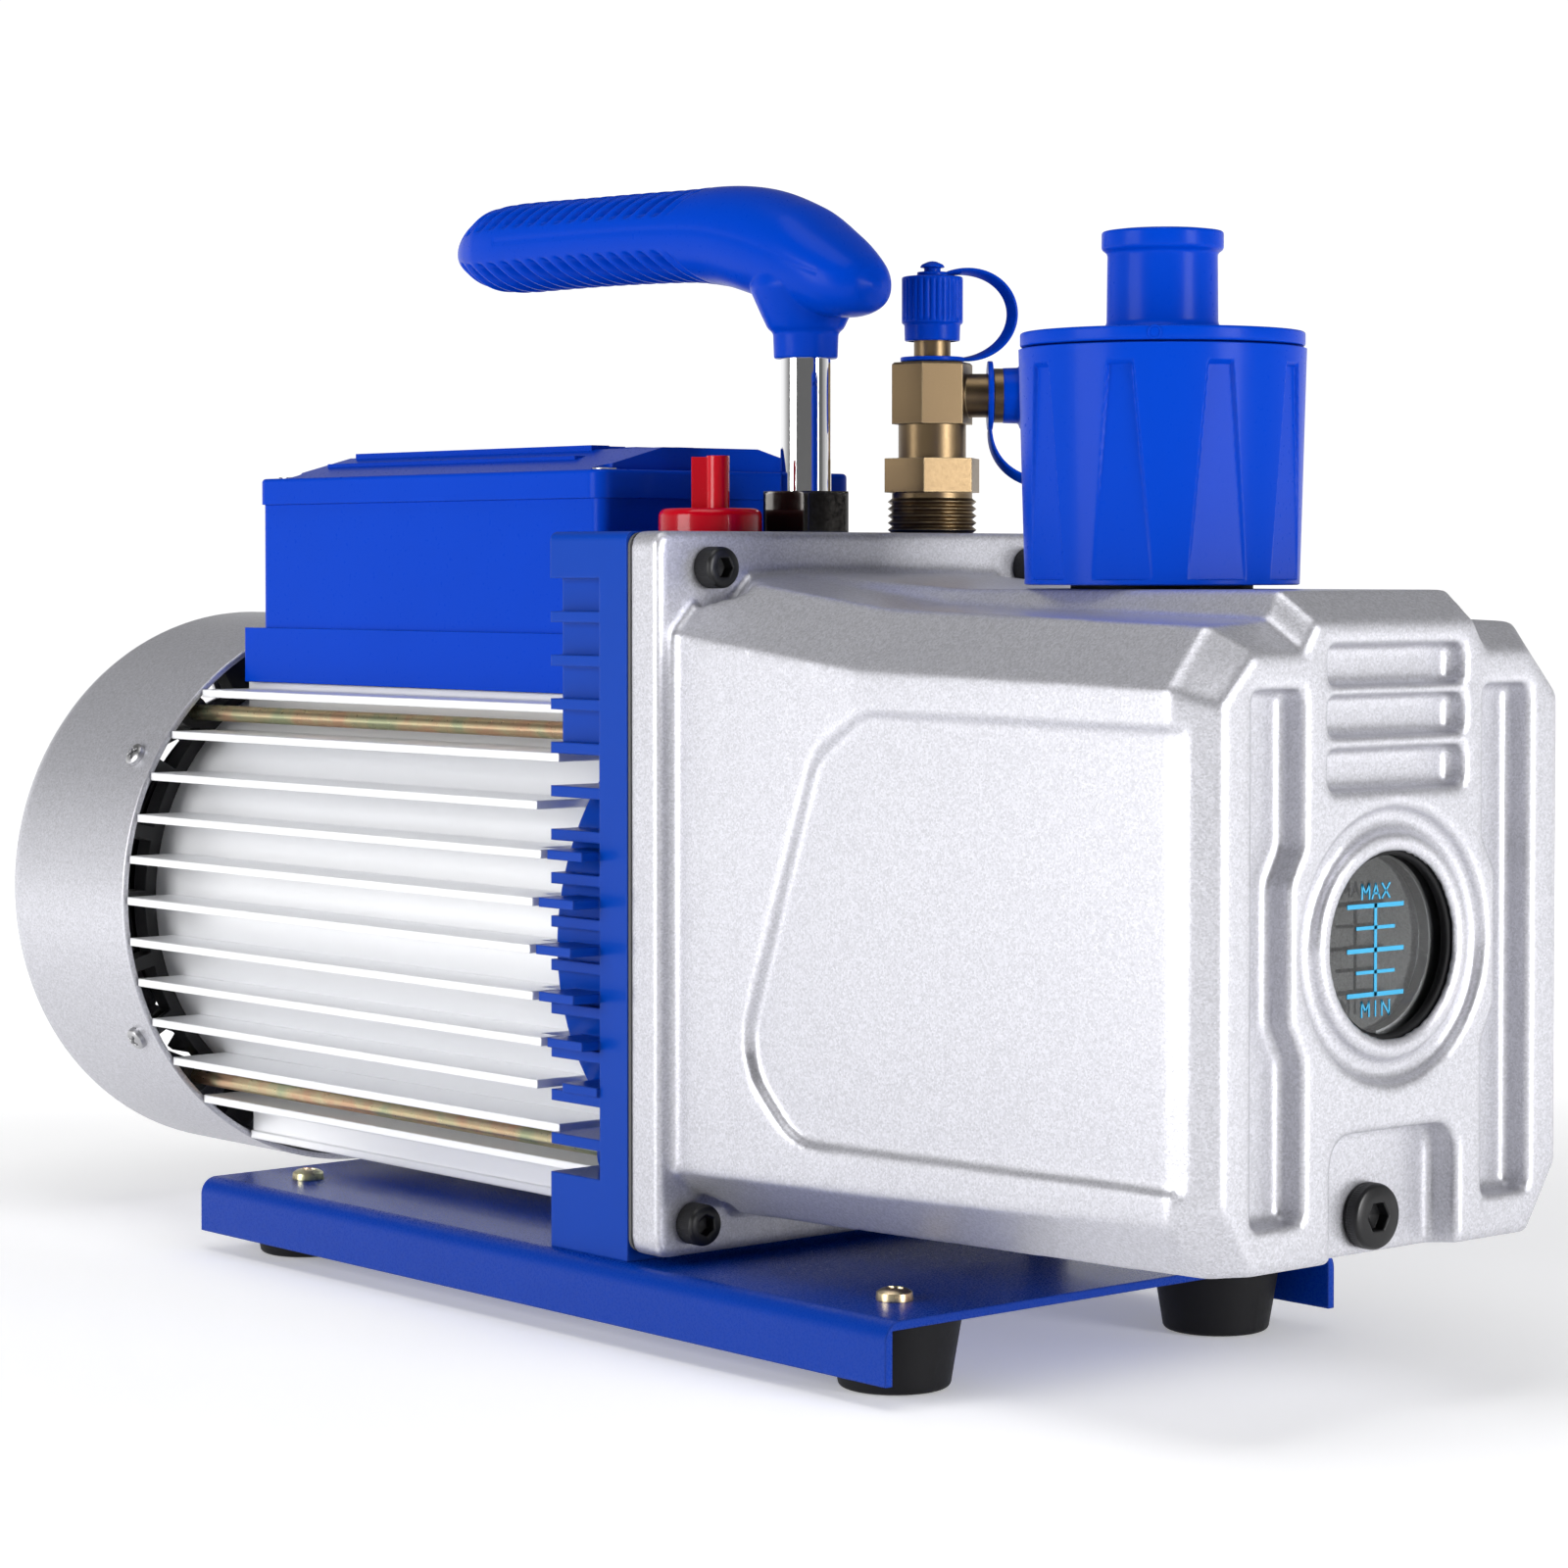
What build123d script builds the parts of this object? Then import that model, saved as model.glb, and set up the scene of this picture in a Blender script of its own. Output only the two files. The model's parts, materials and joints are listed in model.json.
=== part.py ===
"""Two-stage rotary vane vacuum pump with its motor, oil tank, base plate and fittings.

Frame: +Z up, +X along the motor shaft towards the sight glass, Y = 0 is the mid-plane.
The feet stand on Z = 0.  All lengths are millimetres.
"""

import os
from math import cos, radians, sin, sqrt

from build123d import *

os.makedirs("parts", exist_ok=True)

# ---------------------------------------------------------------- driving dimensions
X_FRONT = 203.0            # front face of the oil tank
X_REAR = -203.0            # rear face of the fan cover
ZM = 82.6                  # height of the motor and pump shaft
PLATE_TOP = 17.2           # top face of the base plate
SHEET = 1.8                # base plate sheet thickness

BR_X0, BR_X1 = 16.9, 43.5  # bracket, rear and front faces
BR_HALF = 60.75            # bracket and tank flange half width
BR_TOP = 172.0             # top face of the bracket and tank flange
GASKET_T = 0.8
FLANGE_X0 = BR_X1 + GASKET_T
FLANGE_X1 = FLANGE_X0 + 9.4
FLANGE_Z0 = 19.0

BARREL_R = 57.0            # motor barrel
BARREL_X0 = -149.6
FIN_R = 69.3               # envelope of the motor fins
FIN_PITCH = 10.1
STATOR_R = 50.0
BORE_R = 28.0
SHAFT_R = 7.5
ROD_Y, ROD_Z = 45.0, 45.6  # tie rods, from the shaft axis

COVER_R = 70.0             # fan cover
COVER_RIM_X = -143.7
COVER_WALL = 1.4

TOP_X = 31.0               # handle post, plug and inlet stand on the bracket at this X
PLUG_Y = -27.6
INLET_Y = 38.3
TEE_TURN = 49.4            # direction of the side port, degrees from +X towards +Y
TEE_Z = 203.6              # height of the side port axis

FILTER_X = 140.8
TANK_TOP = 160.0

BOX_X0, BOX_X1 = -132.7, 3.9
BOX_HALF = 37.8

GLASS_Z = 92.2
DRAIN_Z = 39.6

CYL_R = 38.0               # pump cylinders, outside
CHAMBER_R = 26.0
ECC = 3.9                  # the chamber sits this far below the shaft axis
VANE_ROTOR_R = 22.0
PUMP_BOLT_R = 32.0

SIDES = (-1, 1)


def face_x(x, y=0.0, z=0.0):
    """Sketch plane looking along X: local x is Y, local y is Z."""
    return Plane(origin=(x, y, z), x_dir=(0, 1, 0), z_dir=(1, 0, 0))


def face_y(y, x=0.0, z=0.0):
    """Sketch plane on the side: local x is X, local y is Z, extrudes towards -Y."""
    return Plane(origin=(x, y, z), x_dir=(1, 0, 0), z_dir=(0, -1, 0))


def rod(x0, x1, r, y=0.0, z=ZM, mode=Mode.ADD):
    """Round bar along X."""
    with Locations(Location(((x0 + x1) / 2, y, z), (0, 90, 0))):
        Cylinder(r, x1 - x0, mode=mode)


def post(z0, z1, r, x=0.0, y=0.0, mode=Mode.ADD):
    """Round bar along Z."""
    with Locations((x, y, (z0 + z1) / 2)):
        Cylinder(r, z1 - z0, mode=mode)


def block(x0, x1, y0, y1, z0, z1, mode=Mode.ADD):
    """Box given by its limits."""
    with Locations(((x0 + x1) / 2, (y0 + y1) / 2, (z0 + z1) / 2)):
        Box(x1 - x0, y1 - y0, z1 - z0, mode=mode)


def save(builder, name):
    builder.part.label = name
    export_step(builder.part, "parts/" + name + ".step")


def mirrored(half):
    """Close a half outline, listed from top to bottom on +Y, over the mid-plane."""
    return half + [(-y, z) for y, z in reversed(half)]


# ---------------------------------------------------------------- base
FOOT_XS = (-97.7, 112.3)
FOOT_Y = 46.9
FEET = [(x, s * FOOT_Y) for x in FOOT_XS for s in SIDES]
BASE_X0, BASE_X1 = -116.4, 129.9
BASE_HALF = 65.2
BASE_Z0 = 4.5
BASE_BOLTS = [(24.5, s * y) for s in SIDES for y in (22.0, 48.0)]

with BuildPart() as base_plate:
    block(BASE_X0, BASE_X1, -BASE_HALF, BASE_HALF, BASE_Z0, PLATE_TOP)
    fillet(base_plate.edges().filter_by(Axis.X).group_by(Axis.Z)[-1], 4.0)
    with BuildSketch(face_x(BASE_X0)):
        with Locations((0, (PLATE_TOP - SHEET) / 2)):
            Rectangle(2 * (BASE_HALF - SHEET), PLATE_TOP - SHEET)
    extrude(amount=BASE_X1 - BASE_X0, mode=Mode.SUBTRACT)
    with Locations(*[(x, y, PLATE_TOP - SHEET / 2) for x, y in FEET]):
        Cylinder(2.3, SHEET, mode=Mode.SUBTRACT)
    with Locations(*[(x, y, PLATE_TOP - SHEET / 2) for x, y in BASE_BOLTS]):
        Cylinder(3.3, SHEET, mode=Mode.SUBTRACT)
save(base_plate, "base_plate")

with BuildPart() as rubber_feet:
    foot_top = PLATE_TOP - SHEET
    with Locations(*[(x, y, foot_top / 2) for x, y in FEET]):
        Cone(11.3, 13.9, foot_top)
    fillet(rubber_feet.edges().group_by(Axis.Z)[0], 1.2)
    with Locations(*[(x, y, foot_top / 2) for x, y in FEET]):
        Cylinder(2.05, foot_top, mode=Mode.SUBTRACT)
    with Locations(*[(x, y, 4.0) for x, y in FEET]):
        Cylinder(5.5, 8.0, mode=Mode.SUBTRACT)
save(rubber_feet, "rubber_feet")

with BuildPart() as foot_screws:
    with Locations(*[(x, y, PLATE_TOP + 1.3) for x, y in FEET]):
        Cylinder(3.8, 2.6)
    fillet(foot_screws.edges().group_by(Axis.Z)[-1], 1.8)
    with Locations(*[(x, y, PLATE_TOP + 2.2) for x, y in FEET]):
        Box(4.2, 0.9, 2.4, mode=Mode.SUBTRACT)
        Box(0.9, 4.2, 2.4, mode=Mode.SUBTRACT)
    with Locations(*[(x, y, (PLATE_TOP + 4.2) / 2) for x, y in FEET]):
        Cylinder(2.0, PLATE_TOP - 4.2)
    with BuildSketch(Plane.XY.offset(4.6)):
        with Locations(*FEET):
            RegularPolygon(4.0, 6)
            Circle(2.05, mode=Mode.SUBTRACT)
    extrude(amount=3.2)
save(foot_screws, "foot_screws")

with BuildPart() as base_bolts:
    with BuildSketch(Plane.XY.offset(11.2)):
        with Locations(*BASE_BOLTS):
            RegularPolygon(5.77, 6)
    extrude(amount=foot_top - 11.2)
    with Locations(*[(x, y, (foot_top + 30) / 2) for x, y in BASE_BOLTS]):
        Cylinder(2.95, 30 - foot_top)
save(base_bolts, "base_bolts")

# ---------------------------------------------------------------- bracket between motor and tank
FINGER_Z0, FINGER_PITCH = 153.7, 9.4
FINGERS = [FINGER_Z0 - FINGER_PITCH * k for k in range(13)]
BELL_R = 59.0
TANK_SCREWS = [(s * 46.5, 164.3) for s in SIDES] + [(s * 51.5, 25.9) for s in SIDES]
PUMP_BOLTS = [(PUMP_BOLT_R * cos(radians(a)), PUMP_BOLT_R * sin(radians(a))) for a in (20, 160, 200, 340)]

with BuildPart() as pump_bracket:
    block(34.0, BR_X1, -BR_HALF, BR_HALF, PLATE_TOP, BR_TOP)
    block(BR_X0, 34.0, -57.4, 57.4, 124.0, BR_TOP)
    block(BR_X0, 34.0, -BR_HALF, BR_HALF, 162.0, BR_TOP)
    block(BR_X0, 34.0, -BR_HALF, BR_HALF, PLATE_TOP, 33.6)
    rod(BR_X0, 34.0, BELL_R)
    for s in SIDES:
        for z in FINGERS:
            block(BR_X0 + 0.1, 34.0, s * 53.4 - 7.3, s * 53.4 + 7.3, z - 1.2, z + 1.2)
        for z in (ZM - ROD_Z, ZM + ROD_Z):
            rod(21.0, 34.0, 6.4, s * ROD_Y, z)
    with Locations(Location((28.0, 0, ZM), (0, 90, 0))):
        for k in range(-3, 3):
            with Locations((-k * FIN_PITCH, 0, 0)):
                Box(2.0, 2 * sqrt(68.6 ** 2 - (k * FIN_PITCH) ** 2), 12.0)
    fillet(pump_bracket.edges().filter_by(Axis.X).group_by(Axis.Z)[-1], 2.0)
    with BuildSketch(face_x(BR_X0, 0, ZM)):
        Circle(STATOR_R)
        Circle(24.0, mode=Mode.SUBTRACT)
    extrude(amount=15.0, mode=Mode.SUBTRACT)
    rod(BR_X0, 29.9, 17.55, mode=Mode.SUBTRACT)
    rod(BR_X0, BR_X1, 10.5, mode=Mode.SUBTRACT)
    rod(34.5, BR_X1, 15.05, mode=Mode.SUBTRACT)
    for s in SIDES:
        for z in (ZM - ROD_Z, ZM + ROD_Z):
            rod(16.0, 36.0, 2.05, s * ROD_Y, z, mode=Mode.SUBTRACT)
    for y, z in TANK_SCREWS:
        rod(28.0, BR_X1, 2.55, y, z, mode=Mode.SUBTRACT)
    for y, z in PUMP_BOLTS:
        rod(34.0, BR_X1, 2.55, y, ZM + z, mode=Mode.SUBTRACT)
    for x, y in BASE_BOLTS:
        post(PLATE_TOP, 31.0, 3.0, x, y, mode=Mode.SUBTRACT)
    post(154.0, BR_TOP, 4.05, TOP_X, 0, mode=Mode.SUBTRACT)
    post(146.0, BR_TOP, 8.1, TOP_X, PLUG_Y, mode=Mode.SUBTRACT)
    post(168.4, BR_TOP, 9.3, TOP_X, INLET_Y, mode=Mode.SUBTRACT)
    post(150.0, 170.0, 5.5, TOP_X, INLET_Y, mode=Mode.SUBTRACT)
    post(120.0, 152.0, 4.5, TOP_X, INLET_Y, mode=Mode.SUBTRACT)
    rod(TOP_X, BR_X1, 4.5, INLET_Y, 124.0, mode=Mode.SUBTRACT)
    rod(TOP_X, BR_X1, 4.0, PLUG_Y, 150.0, mode=Mode.SUBTRACT)
save(pump_bracket, "pump_bracket")

# ---------------------------------------------------------------- oil tank
TANK_A = [(24.0, 163.0), (27.5, 162.9), (45.0, 162.5), (56.4, 150.5), (56.4, 37.5), (45.0, 28.0)]
TANK_B = [(24.0, TANK_TOP), (27.5, 156.6), (45.0, 156.0), (54.3, 143.7), (54.3, 39.0), (45.0, 29.5)]
TANK_C = [(24.0, TANK_TOP), (27.5, 154.3), (44.0, 153.6), (54.0, 141.8), (54.0, 42.6), (44.0, 32.0)]
TANK_D = [(22.5, 154.0), (26.3, 148.3), (39.0, 148.2), (48.2, 139.0), (48.2, 46.5), (39.5, 33.0)]
CAVITY = [(23.0, 150.0), (26.0, 149.5), (41.5, 148.0), (49.2, 139.0), (49.2, 43.0), (41.0, 34.5)]
X_B, X_C = 108.0, 194.7
GROOVE_D = 6.2

with BuildPart() as tank_cover:
    with BuildSketch(face_x(FLANGE_X1 - 0.01)):
        Polygon(*mirrored(TANK_A), align=None)
    with BuildSketch(face_x(X_B)):
        Polygon(*mirrored(TANK_B), align=None)
    loft(ruled=True)
    with BuildSketch(face_x(X_B)):
        Polygon(*mirrored(TANK_B), align=None)
    with BuildSketch(face_x(X_C)):
        Polygon(*mirrored(TANK_C), align=None)
    loft(ruled=True)
    with BuildSketch(face_x(X_C)):
        Polygon(*mirrored(TANK_C), align=None)
    with BuildSketch(face_x(X_FRONT)):
        Polygon(*mirrored(TANK_D), align=None)
    loft(ruled=True)
    block(FLANGE_X0, FLANGE_X1, -BR_HALF, BR_HALF, FLANGE_Z0, BR_TOP)
    fillet(tank_cover.edges().filter_by(Axis.X).filter_by_position(Axis.X, FLANGE_X0, FLANGE_X1), 3.0)
    fillet(tank_cover.edges().filter_by(Plane.YZ).group_by(Axis.X)[-1], 1.2)
    with BuildSketch(face_x(FLANGE_X0)):
        Polygon(*mirrored(CAVITY), align=None)
    extrude(amount=188.0 - FLANGE_X0, mode=Mode.SUBTRACT)
    # screw holes with flared pockets in the flange corners
    for y, z in TANK_SCREWS:
        rod(FLANGE_X0, FLANGE_X1, 2.6, y, z, mode=Mode.SUBTRACT)
        rod(FLANGE_X1, FLANGE_X1 + 12.0, 5.4, y, z, mode=Mode.SUBTRACT)
    for s in SIDES:
        with BuildSketch(face_x(FLANGE_X1)):
            Polygon((s * 60.0, 166.0), (s * 46.0, 150.6), (s * 32.0, 166.0), align=None)
        extrude(amount=12.0, taper=24, mode=Mode.SUBTRACT)
        with BuildSketch(face_x(FLANGE_X1)):
            Polygon((s * 60.0, 22.0), (s * 46.0, 35.6), (s * 36.0, 22.0), align=None)
        extrude(amount=12.0, taper=24, mode=Mode.SUBTRACT)
    # front face: louvres, side grooves, ring around the sight glass, drain arch
    with BuildSketch(face_x(X_FRONT)) as louvres:
        for z in (145.9, 136.3, 126.1):
            with Locations((0.5, z)):
                Rectangle(39.0, 7.8)
        fillet(louvres.vertices(), 1.6)
    extrude(amount=-4.6, mode=Mode.SUBTRACT)
    for s in SIDES:
        with BuildSketch(face_x(X_FRONT)) as groove:
            Polygon((s * 39.8, 141.6), (s * 26.0, 141.6), (s * 26.0, 112.0), (s * 29.8, 105.0), (s * 29.8, 79.0),
                    (s * 26.0, 72.0), (s * 26.0, 41.5), (s * 39.8, 41.5), align=None)
            fillet(groove.vertices(), 1.5)
        extrude(amount=-GROOVE_D, mode=Mode.SUBTRACT)
    with BuildSketch(face_x(X_FRONT, 0, GLASS_Z)):
        Circle(26.4)
        Circle(21.8, mode=Mode.SUBTRACT)
    extrude(amount=-2.6, mode=Mode.SUBTRACT)
    with BuildSketch(face_x(X_FRONT)) as arch:
        Polygon((-18.0, 20.0), (-18.0, 57.0), (18.4, 57.0), (18.4, 20.0), align=None)
        fillet(arch.vertices().group_by(Axis.Y)[-1], 6.0)
    extrude(amount=195.4 - X_FRONT, mode=Mode.SUBTRACT)
    rod(186.0, X_FRONT, 17.8, 0, GLASS_Z, mode=Mode.SUBTRACT)
    rod(186.0, 201.2, 20.4, 0, GLASS_Z, mode=Mode.SUBTRACT)
    chamfer(tank_cover.edges().filter_by(GeomType.CIRCLE).filter_by(lambda e: abs(e.radius - 17.8) < 0.01)
            .group_by(Axis.X)[-1], 0.9)
    rod(180.0, 195.4, 5.0, 0, DRAIN_Z, mode=Mode.SUBTRACT)
    post(140.0, TANK_TOP, 13.1, FILTER_X, 0, mode=Mode.SUBTRACT)
# recessed panel on both sides, running out over the front chamfer
for s in SIDES:
    with BuildPart() as panel_cut:
        with BuildSketch(face_y(s * 60.0 + 8.0)) as panel:
            Polygon((110.5, 135.5), (206.0, 134.8), (206.0, 48.8), (90.0, 46.8), (73.5, 63.0), (96.0, 126.0),
                    align=None)
            fillet(panel.vertices().filter_by_position(Axis.X, 95, 115), 12.0)
            fillet(panel.vertices().filter_by_position(Axis.X, 70, 93), 16.0)
        extrude(amount=16.0)
        with BuildSketch(Plane.XY.offset(40.0)):
            Polygon((60.0, s * 53.3), (X_C - 0.5, s * 52.8), (X_FRONT + 3.0, s * 44.3), (X_FRONT + 3.0, s * 70.0),
                    (60.0, s * 70.0), align=None)
        extrude(amount=100.0, mode=Mode.INTERSECT)
    tank_cover.part = tank_cover.part - panel_cut.part
save(tank_cover, "tank_cover")

with BuildPart() as tank_gasket:
    block(BR_X1, FLANGE_X0, -BR_HALF + 0.3, BR_HALF - 0.3, FLANGE_Z0 + 0.3, BR_TOP - 0.3)
    fillet(tank_gasket.edges().filter_by(Axis.X), 3.0)
    with BuildSketch(face_x(BR_X1)):
        Polygon(*mirrored(CAVITY), align=None)
    extrude(amount=GASKET_T, mode=Mode.SUBTRACT)
    for y, z in TANK_SCREWS:
        rod(BR_X1, FLANGE_X0, 2.6, y, z, mode=Mode.SUBTRACT)
save(tank_gasket, "tank_gasket")

with BuildPart() as tank_screws:
    for y, z in TANK_SCREWS:
        rod(30.0, FLANGE_X1, 2.45, y, z)
        rod(FLANGE_X1, FLANGE_X1 + 5.0, 4.4, y, z)
    fillet(tank_screws.edges().group_by(Axis.X)[-1], 0.5)
    with BuildSketch(face_x(FLANGE_X1 + 2.2)):
        with Locations(*TANK_SCREWS):
            RegularPolygon(2.3, 6)
    extrude(amount=2.8, mode=Mode.SUBTRACT)
save(tank_screws, "tank_screws")

# ---------------------------------------------------------------- sight glass and drain
with BuildPart() as sight_glass:
    rod(194.4, 199.2, 20.3, 0, GLASS_Z)
save(sight_glass, "sight_glass")

with BuildPart() as sight_glass_seal:
    rod(199.2, 201.2, 20.3, 0, GLASS_Z)
    rod(199.2, 201.2, 17.2, 0, GLASS_Z, mode=Mode.SUBTRACT)
    fillet(sight_glass_seal.edges().filter_by(GeomType.CIRCLE), 0.5)
save(sight_glass_seal, "sight_glass_seal")

with BuildPart() as sight_glass_retainer:
    rod(191.8, 194.4, 20.3, 0, GLASS_Z)
    rod(191.8, 194.4, 17.0, 0, GLASS_Z, mode=Mode.SUBTRACT)
    with PolarLocations(0, 2):
        with Locations((193.1, 0, GLASS_Z)):
            Box(3.0, 3.0, 60.0, mode=Mode.SUBTRACT)
save(sight_glass_retainer, "sight_glass_retainer")

LONG_MARKS = (-9.5, -1.0, 7.5)
SHORT_MARKS = (-5.2, 3.3)
with BuildPart() as level_scale:
    for z in LONG_MARKS:
        block(199.2, 199.35, -9.4, 6.0, GLASS_Z + z - 0.45, GLASS_Z + z + 0.45)
    for z in SHORT_MARKS:
        block(199.2, 199.35, -6.9, 3.5, GLASS_Z + z - 0.35, GLASS_Z + z + 0.35)
    block(199.2, 199.35, -2.1, -1.3, GLASS_Z - 9.5, GLASS_Z + 7.5)
save(level_scale, "level_scale")

with BuildPart() as drain_seal:
    rod(195.4, 196.2, 6.3, 0, DRAIN_Z)
    rod(195.4, 196.2, 5.2, 0, DRAIN_Z, mode=Mode.SUBTRACT)
save(drain_seal, "drain_seal")

with BuildPart() as drain_plug:
    rod(181.0, 196.2, 4.95, 0, DRAIN_Z)
    rod(196.2, 199.0, 6.45, 0, DRAIN_Z)
    chamfer(drain_plug.edges().group_by(Axis.X)[-1], 0.6)
    with BuildSketch(face_x(196.6, 0, DRAIN_Z)):
        RegularPolygon(2.6, 6)
    extrude(amount=3.2, mode=Mode.SUBTRACT)
save(drain_plug, "drain_plug")

# ---------------------------------------------------------------- pump module inside the tank
def bolt_holes(x0, x1):
    for y, z in PUMP_BOLTS:
        rod(x0, x1, 2.6, y, ZM + z, mode=Mode.SUBTRACT)


END_X = (BR_X1, 60.0, 92.0, 102.0, 120.0, 132.0)
CH_Z = ZM - ECC

with BuildPart() as pump_rear_plate:
    rod(END_X[0], END_X[1], CYL_R)
    rod(END_X[0], 54.4, 13.2, mode=Mode.SUBTRACT)
    rod(54.4, END_X[1], 8.05, mode=Mode.SUBTRACT)
    bolt_holes(END_X[0], END_X[1])
save(pump_rear_plate, "pump_rear_plate")

with BuildPart() as stage_one_cylinder:
    rod(END_X[1], END_X[2], CYL_R)
    rod(END_X[1], END_X[2], CHAMBER_R, 0, CH_Z, mode=Mode.SUBTRACT)
    bolt_holes(END_X[1], END_X[2])
    block(68.0, 84.0, 8.0, 22.0, ZM + 31.0, ZM + 40.0, mode=Mode.SUBTRACT)
    post(ZM + 18.0, ZM + 34.0, 2.5, 76.0, 15.0, mode=Mode.SUBTRACT)
save(stage_one_cylinder, "stage_one_cylinder")

with BuildPart() as pump_middle_plate:
    rod(END_X[2], END_X[3], CYL_R)
    rod(END_X[2], END_X[3], 8.05, mode=Mode.SUBTRACT)
    bolt_holes(END_X[2], END_X[3])
save(pump_middle_plate, "pump_middle_plate")

with BuildPart() as stage_two_cylinder:
    rod(END_X[3], END_X[4], CYL_R)
    rod(END_X[3], END_X[4], CHAMBER_R, 0, CH_Z, mode=Mode.SUBTRACT)
    bolt_holes(END_X[3], END_X[4])
    block(103.5, 118.5, 8.0, 22.0, ZM + 31.0, ZM + 40.0, mode=Mode.SUBTRACT)
    post(ZM + 18.0, ZM + 34.0, 2.5, 111.0, 15.0, mode=Mode.SUBTRACT)
save(stage_two_cylinder, "stage_two_cylinder")

with BuildPart() as pump_front_plate:
    rod(END_X[4], END_X[5], CYL_R)
    rod(END_X[4], 129.0, 8.05, mode=Mode.SUBTRACT)
    bolt_holes(END_X[4], END_X[5])
save(pump_front_plate, "pump_front_plate")

VANE_T = 4.0
VANE_H = 12.0
STAGES = ((END_X[1], END_X[2]), (END_X[3], END_X[4]))
with BuildPart() as pump_rotor:
    rod(54.5, 128.0, 8.0)
    for x0, x1 in STAGES:
        rod(x0 + 0.05, x1 - 0.05, VANE_ROTOR_R)
        block(x0 + 0.05, x1 - 0.05, -VANE_T / 2 - 0.05, VANE_T / 2 + 0.05, ZM + 9.0, ZM + 23.0, mode=Mode.SUBTRACT)
        block(x0 + 0.05, x1 - 0.05, -VANE_T / 2 - 0.05, VANE_T / 2 + 0.05, ZM - 23.0, ZM - 9.0, mode=Mode.SUBTRACT)
    block(53.6, 54.5, -2.4, 2.4, ZM - 7.5, ZM + 7.5)
save(pump_rotor, "pump_rotor")


with BuildPart() as rotor_vanes:
    for x0, x1 in STAGES:
        for s in SIDES:
            zc = ZM + s * (VANE_ROTOR_R - VANE_H / 2)
            block(x0 + 0.15, x1 - 0.15, -VANE_T / 2, VANE_T / 2, zc - VANE_H / 2, zc + VANE_H / 2)
            with Locations((0.5 * (x0 + x1), 0, zc - s * (VANE_H / 2 - 2.0))):
                with GridLocations(0.5 * (x1 - x0), 0, 2, 1):
                    Cylinder(1.4, 4.0, mode=Mode.SUBTRACT)
    fillet(rotor_vanes.edges().filter_by(Axis.X).group_by(Axis.Z)[-1], 1.6)
    fillet(rotor_vanes.edges().filter_by(Axis.X).group_by(Axis.Z)[0], 1.6)
save(rotor_vanes, "rotor_vanes")

with BuildPart() as vane_springs:
    for x0, x1 in STAGES:
        for s in SIDES:
            for x in (0.75 * x0 + 0.25 * x1, 0.25 * x0 + 0.75 * x1):
                for k in range(3):
                    with Locations((x, 0, ZM + s * (9.6 + 1.4 * k))):
                        Torus(0.95, 0.3)
                post(ZM + s * 11.0 - 2.0, ZM + s * 11.0 + 2.0, 0.72, x, 0)
save(vane_springs, "vane_springs")

with BuildPart() as pump_bolts:
    for y, z in PUMP_BOLTS:
        rod(35.0, END_X[5], 2.5, y, ZM + z)
        rod(END_X[5], END_X[5] + 5.0, 4.2, y, ZM + z)
    with BuildSketch(face_x(END_X[5] + 2.0, 0, ZM)):
        with Locations(*PUMP_BOLTS):
            RegularPolygon(2.3, 6)
    extrude(amount=3.0, mode=Mode.SUBTRACT)
save(pump_bolts, "pump_bolts")

VALVES = ((69.0, 83.0), (104.5, 117.5))
with BuildPart() as exhaust_valves:
    for x0, x1 in VALVES:
        block(x0, x1, 9.0, 21.0, ZM + 31.02, ZM + 31.3)
        block(x0, x1, 9.0, 21.0, ZM + 31.6, ZM + 33.3)
        post(ZM + 31.3, ZM + 35.6, 2.4, (x0 + x1) / 2, 18.2)
save(exhaust_valves, "exhaust_valves")

with BuildPart() as oil_baffle:
    block(150.0, 151.5, -36.0, 36.0, 44.0, 124.0)
    fillet(oil_baffle.edges().filter_by(Axis.X), 8.0)
    with Locations(Location((150.75, 0, ZM), (0, 90, 0))):
        with GridLocations(15.0, 15.0, 5, 4):
            Cylinder(3.6, 2.0, mode=Mode.SUBTRACT)
    for s in SIDES:
        with BuildSketch(face_x(END_X[5], s * 15.0, ZM)):
            RegularPolygon(4.0, 6)
        extrude(amount=18.0)
        rod(151.5, 154.0, 3.6, s * 15.0, ZM)
save(oil_baffle, "oil_baffle")

# ---------------------------------------------------------------- shaft, seal and bearings
with BuildPart() as drive_coupling:
    rod(45.4, 53.5, 12.0)
    block(45.3, 48.4, -2.55, 2.55, ZM - 12.5, ZM + 12.5, mode=Mode.SUBTRACT)
    block(50.6, 53.6, -2.5, 2.5, ZM - 12.5, ZM + 12.5, mode=Mode.SUBTRACT)
save(drive_coupling, "drive_coupling")

with BuildPart() as motor_shaft:
    rod(-182.0, 45.0, SHAFT_R - 0.03)
    block(45.0, 48.2, -2.5, 2.5, ZM - 7.3, ZM + 7.3)
    chamfer(motor_shaft.edges().group_by(Axis.X)[0], 0.8)
save(motor_shaft, "motor_shaft")


def ball_bearing(name, x0):
    with BuildPart() as bearing:
        rod(x0, x0 + 11.0, 17.5)
        rod(x0, x0 + 11.0, SHAFT_R, mode=Mode.SUBTRACT)
        for x in (x0, x0 + 10.2):
            rod(x, x + 0.8, 14.8, mode=Mode.SUBTRACT)
            rod(x, x + 0.8, 10.2)
            rod(x, x + 0.8, SHAFT_R, mode=Mode.SUBTRACT)
    save(bearing, name)


ball_bearing("front_bearing", 18.6)
ball_bearing("rear_bearing", -166.0)

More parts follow.
